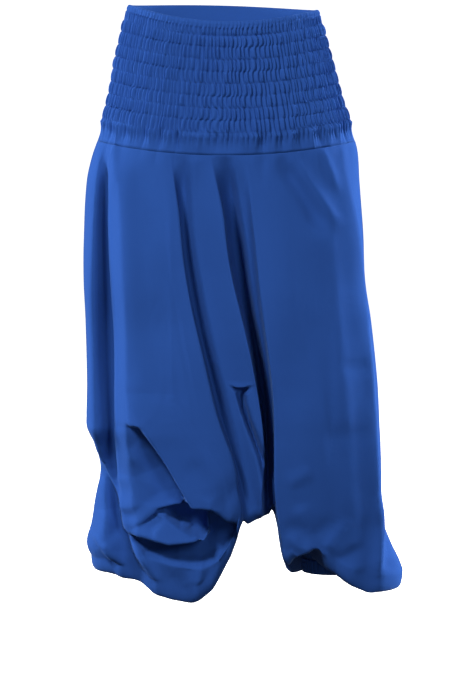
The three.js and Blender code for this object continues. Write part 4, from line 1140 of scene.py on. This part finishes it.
def stitches(paths):
    """Stitches along paths, each an array of points and one of outward directions. A stitch is a slim
    spindle: a square in the middle drawn to a point at both ends."""
    sides = [(1, 2), (2, 3), (3, 4), (4, 1)]
    spindle = np.array([(0, b, a) for a, b in sides] + [(5, a, b) for a, b in sides])
    points, faces = [], []
    for path, outward in paths:
        steps = np.linalg.norm(np.diff(path, axis=0), axis=1)
        travelled = np.concatenate([[0], np.cumsum(steps)])
        middles = np.arange(STITCH["pitch"], travelled[-1] - STITCH["pitch"], STITCH["pitch"])
        place, ahead = (np.stack([np.interp(at, travelled, path[:, k]) for k in range(3)], -1)
                        for at in (middles, middles + STITCH["look ahead"]))
        along = ahead - place
        along /= np.maximum(np.linalg.norm(along, axis=-1, keepdims=True), 1e-6)
        up = np.stack([np.interp(middles, travelled, outward[:, k]) for k in range(3)], -1)
        up /= np.maximum(np.linalg.norm(up, axis=-1, keepdims=True), 1e-6)
        across = np.cross(along, up)
        place = place + up * STITCH["proud"]
        half, thick = STITCH["length"] / 2, STITCH["thick"]
        corners = [place - along * half, place + up * thick, place + across * thick, place - up * thick,
                   place - across * thick, place + along * half]
        first = sum(len(p) for p in points)
        points.append(np.stack(corners, 1).reshape(-1, 3))
        base = first + 6 * np.arange(len(place))[:, None, None]
        faces.append((base + spindle).reshape(-1, 3))
    return np.concatenate(points), np.concatenate(faces)


def sewn_thread(name, paths):
    """One mesh of all the stitches along the paths."""
    points, faces = stitches(paths)
    mesh = bpy.data.meshes.new(name)
    mesh.from_pydata((points * 0.001).tolist(), [], faces.tolist())
    mesh.polygons.foreach_set("use_smooth", np.ones(len(faces), bool))
    mesh.materials.append(thread)
    piece = bpy.data.objects.new(name, mesh)
    bpy.context.scene.collection.objects.link(piece)
    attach(piece, "root")
    return piece


def ring_directions(path):
    """Outward directions of a ring of points: level, away from its middle."""
    outward = path - path.mean(0)
    outward[:, 2] = 0
    return outward / np.linalg.norm(outward, axis=-1, keepdims=True)


row_turns = np.linspace(0, 1, ROW_STITCHING["samples"])
row_paths = []
for row in SMOCK_ROWS:
    row_downs = np.full_like(row_turns, row)
    row_path = band_point(row_turns, row_downs, smocking(row_turns, row_downs) + ROW_STITCHING["out"])
    row_paths.append((row_path, ring_directions(row_path)))
sewn_thread("smocking_stitches", row_paths)

casing_paths = []
for centre in CUFF_X.values():
    ring = cuff_surface(centre)[CUFF_STITCH_ROW]
    ring = np.concatenate([ring, ring[:1]])
    casing_paths.append((ring, ring_directions(ring)))
sewn_thread("ankle_stitches", casing_paths)

seam_paths = []
for strip in seam_lines:
    outward = strip[:, 2] - (strip[:, 0] + strip[:, 4]) / 2
    seam_paths.append((strip[:, 1], outward))
    seam_paths.append((strip[:, 3], outward))
sewn_thread("side_seam_stitches", seam_paths)
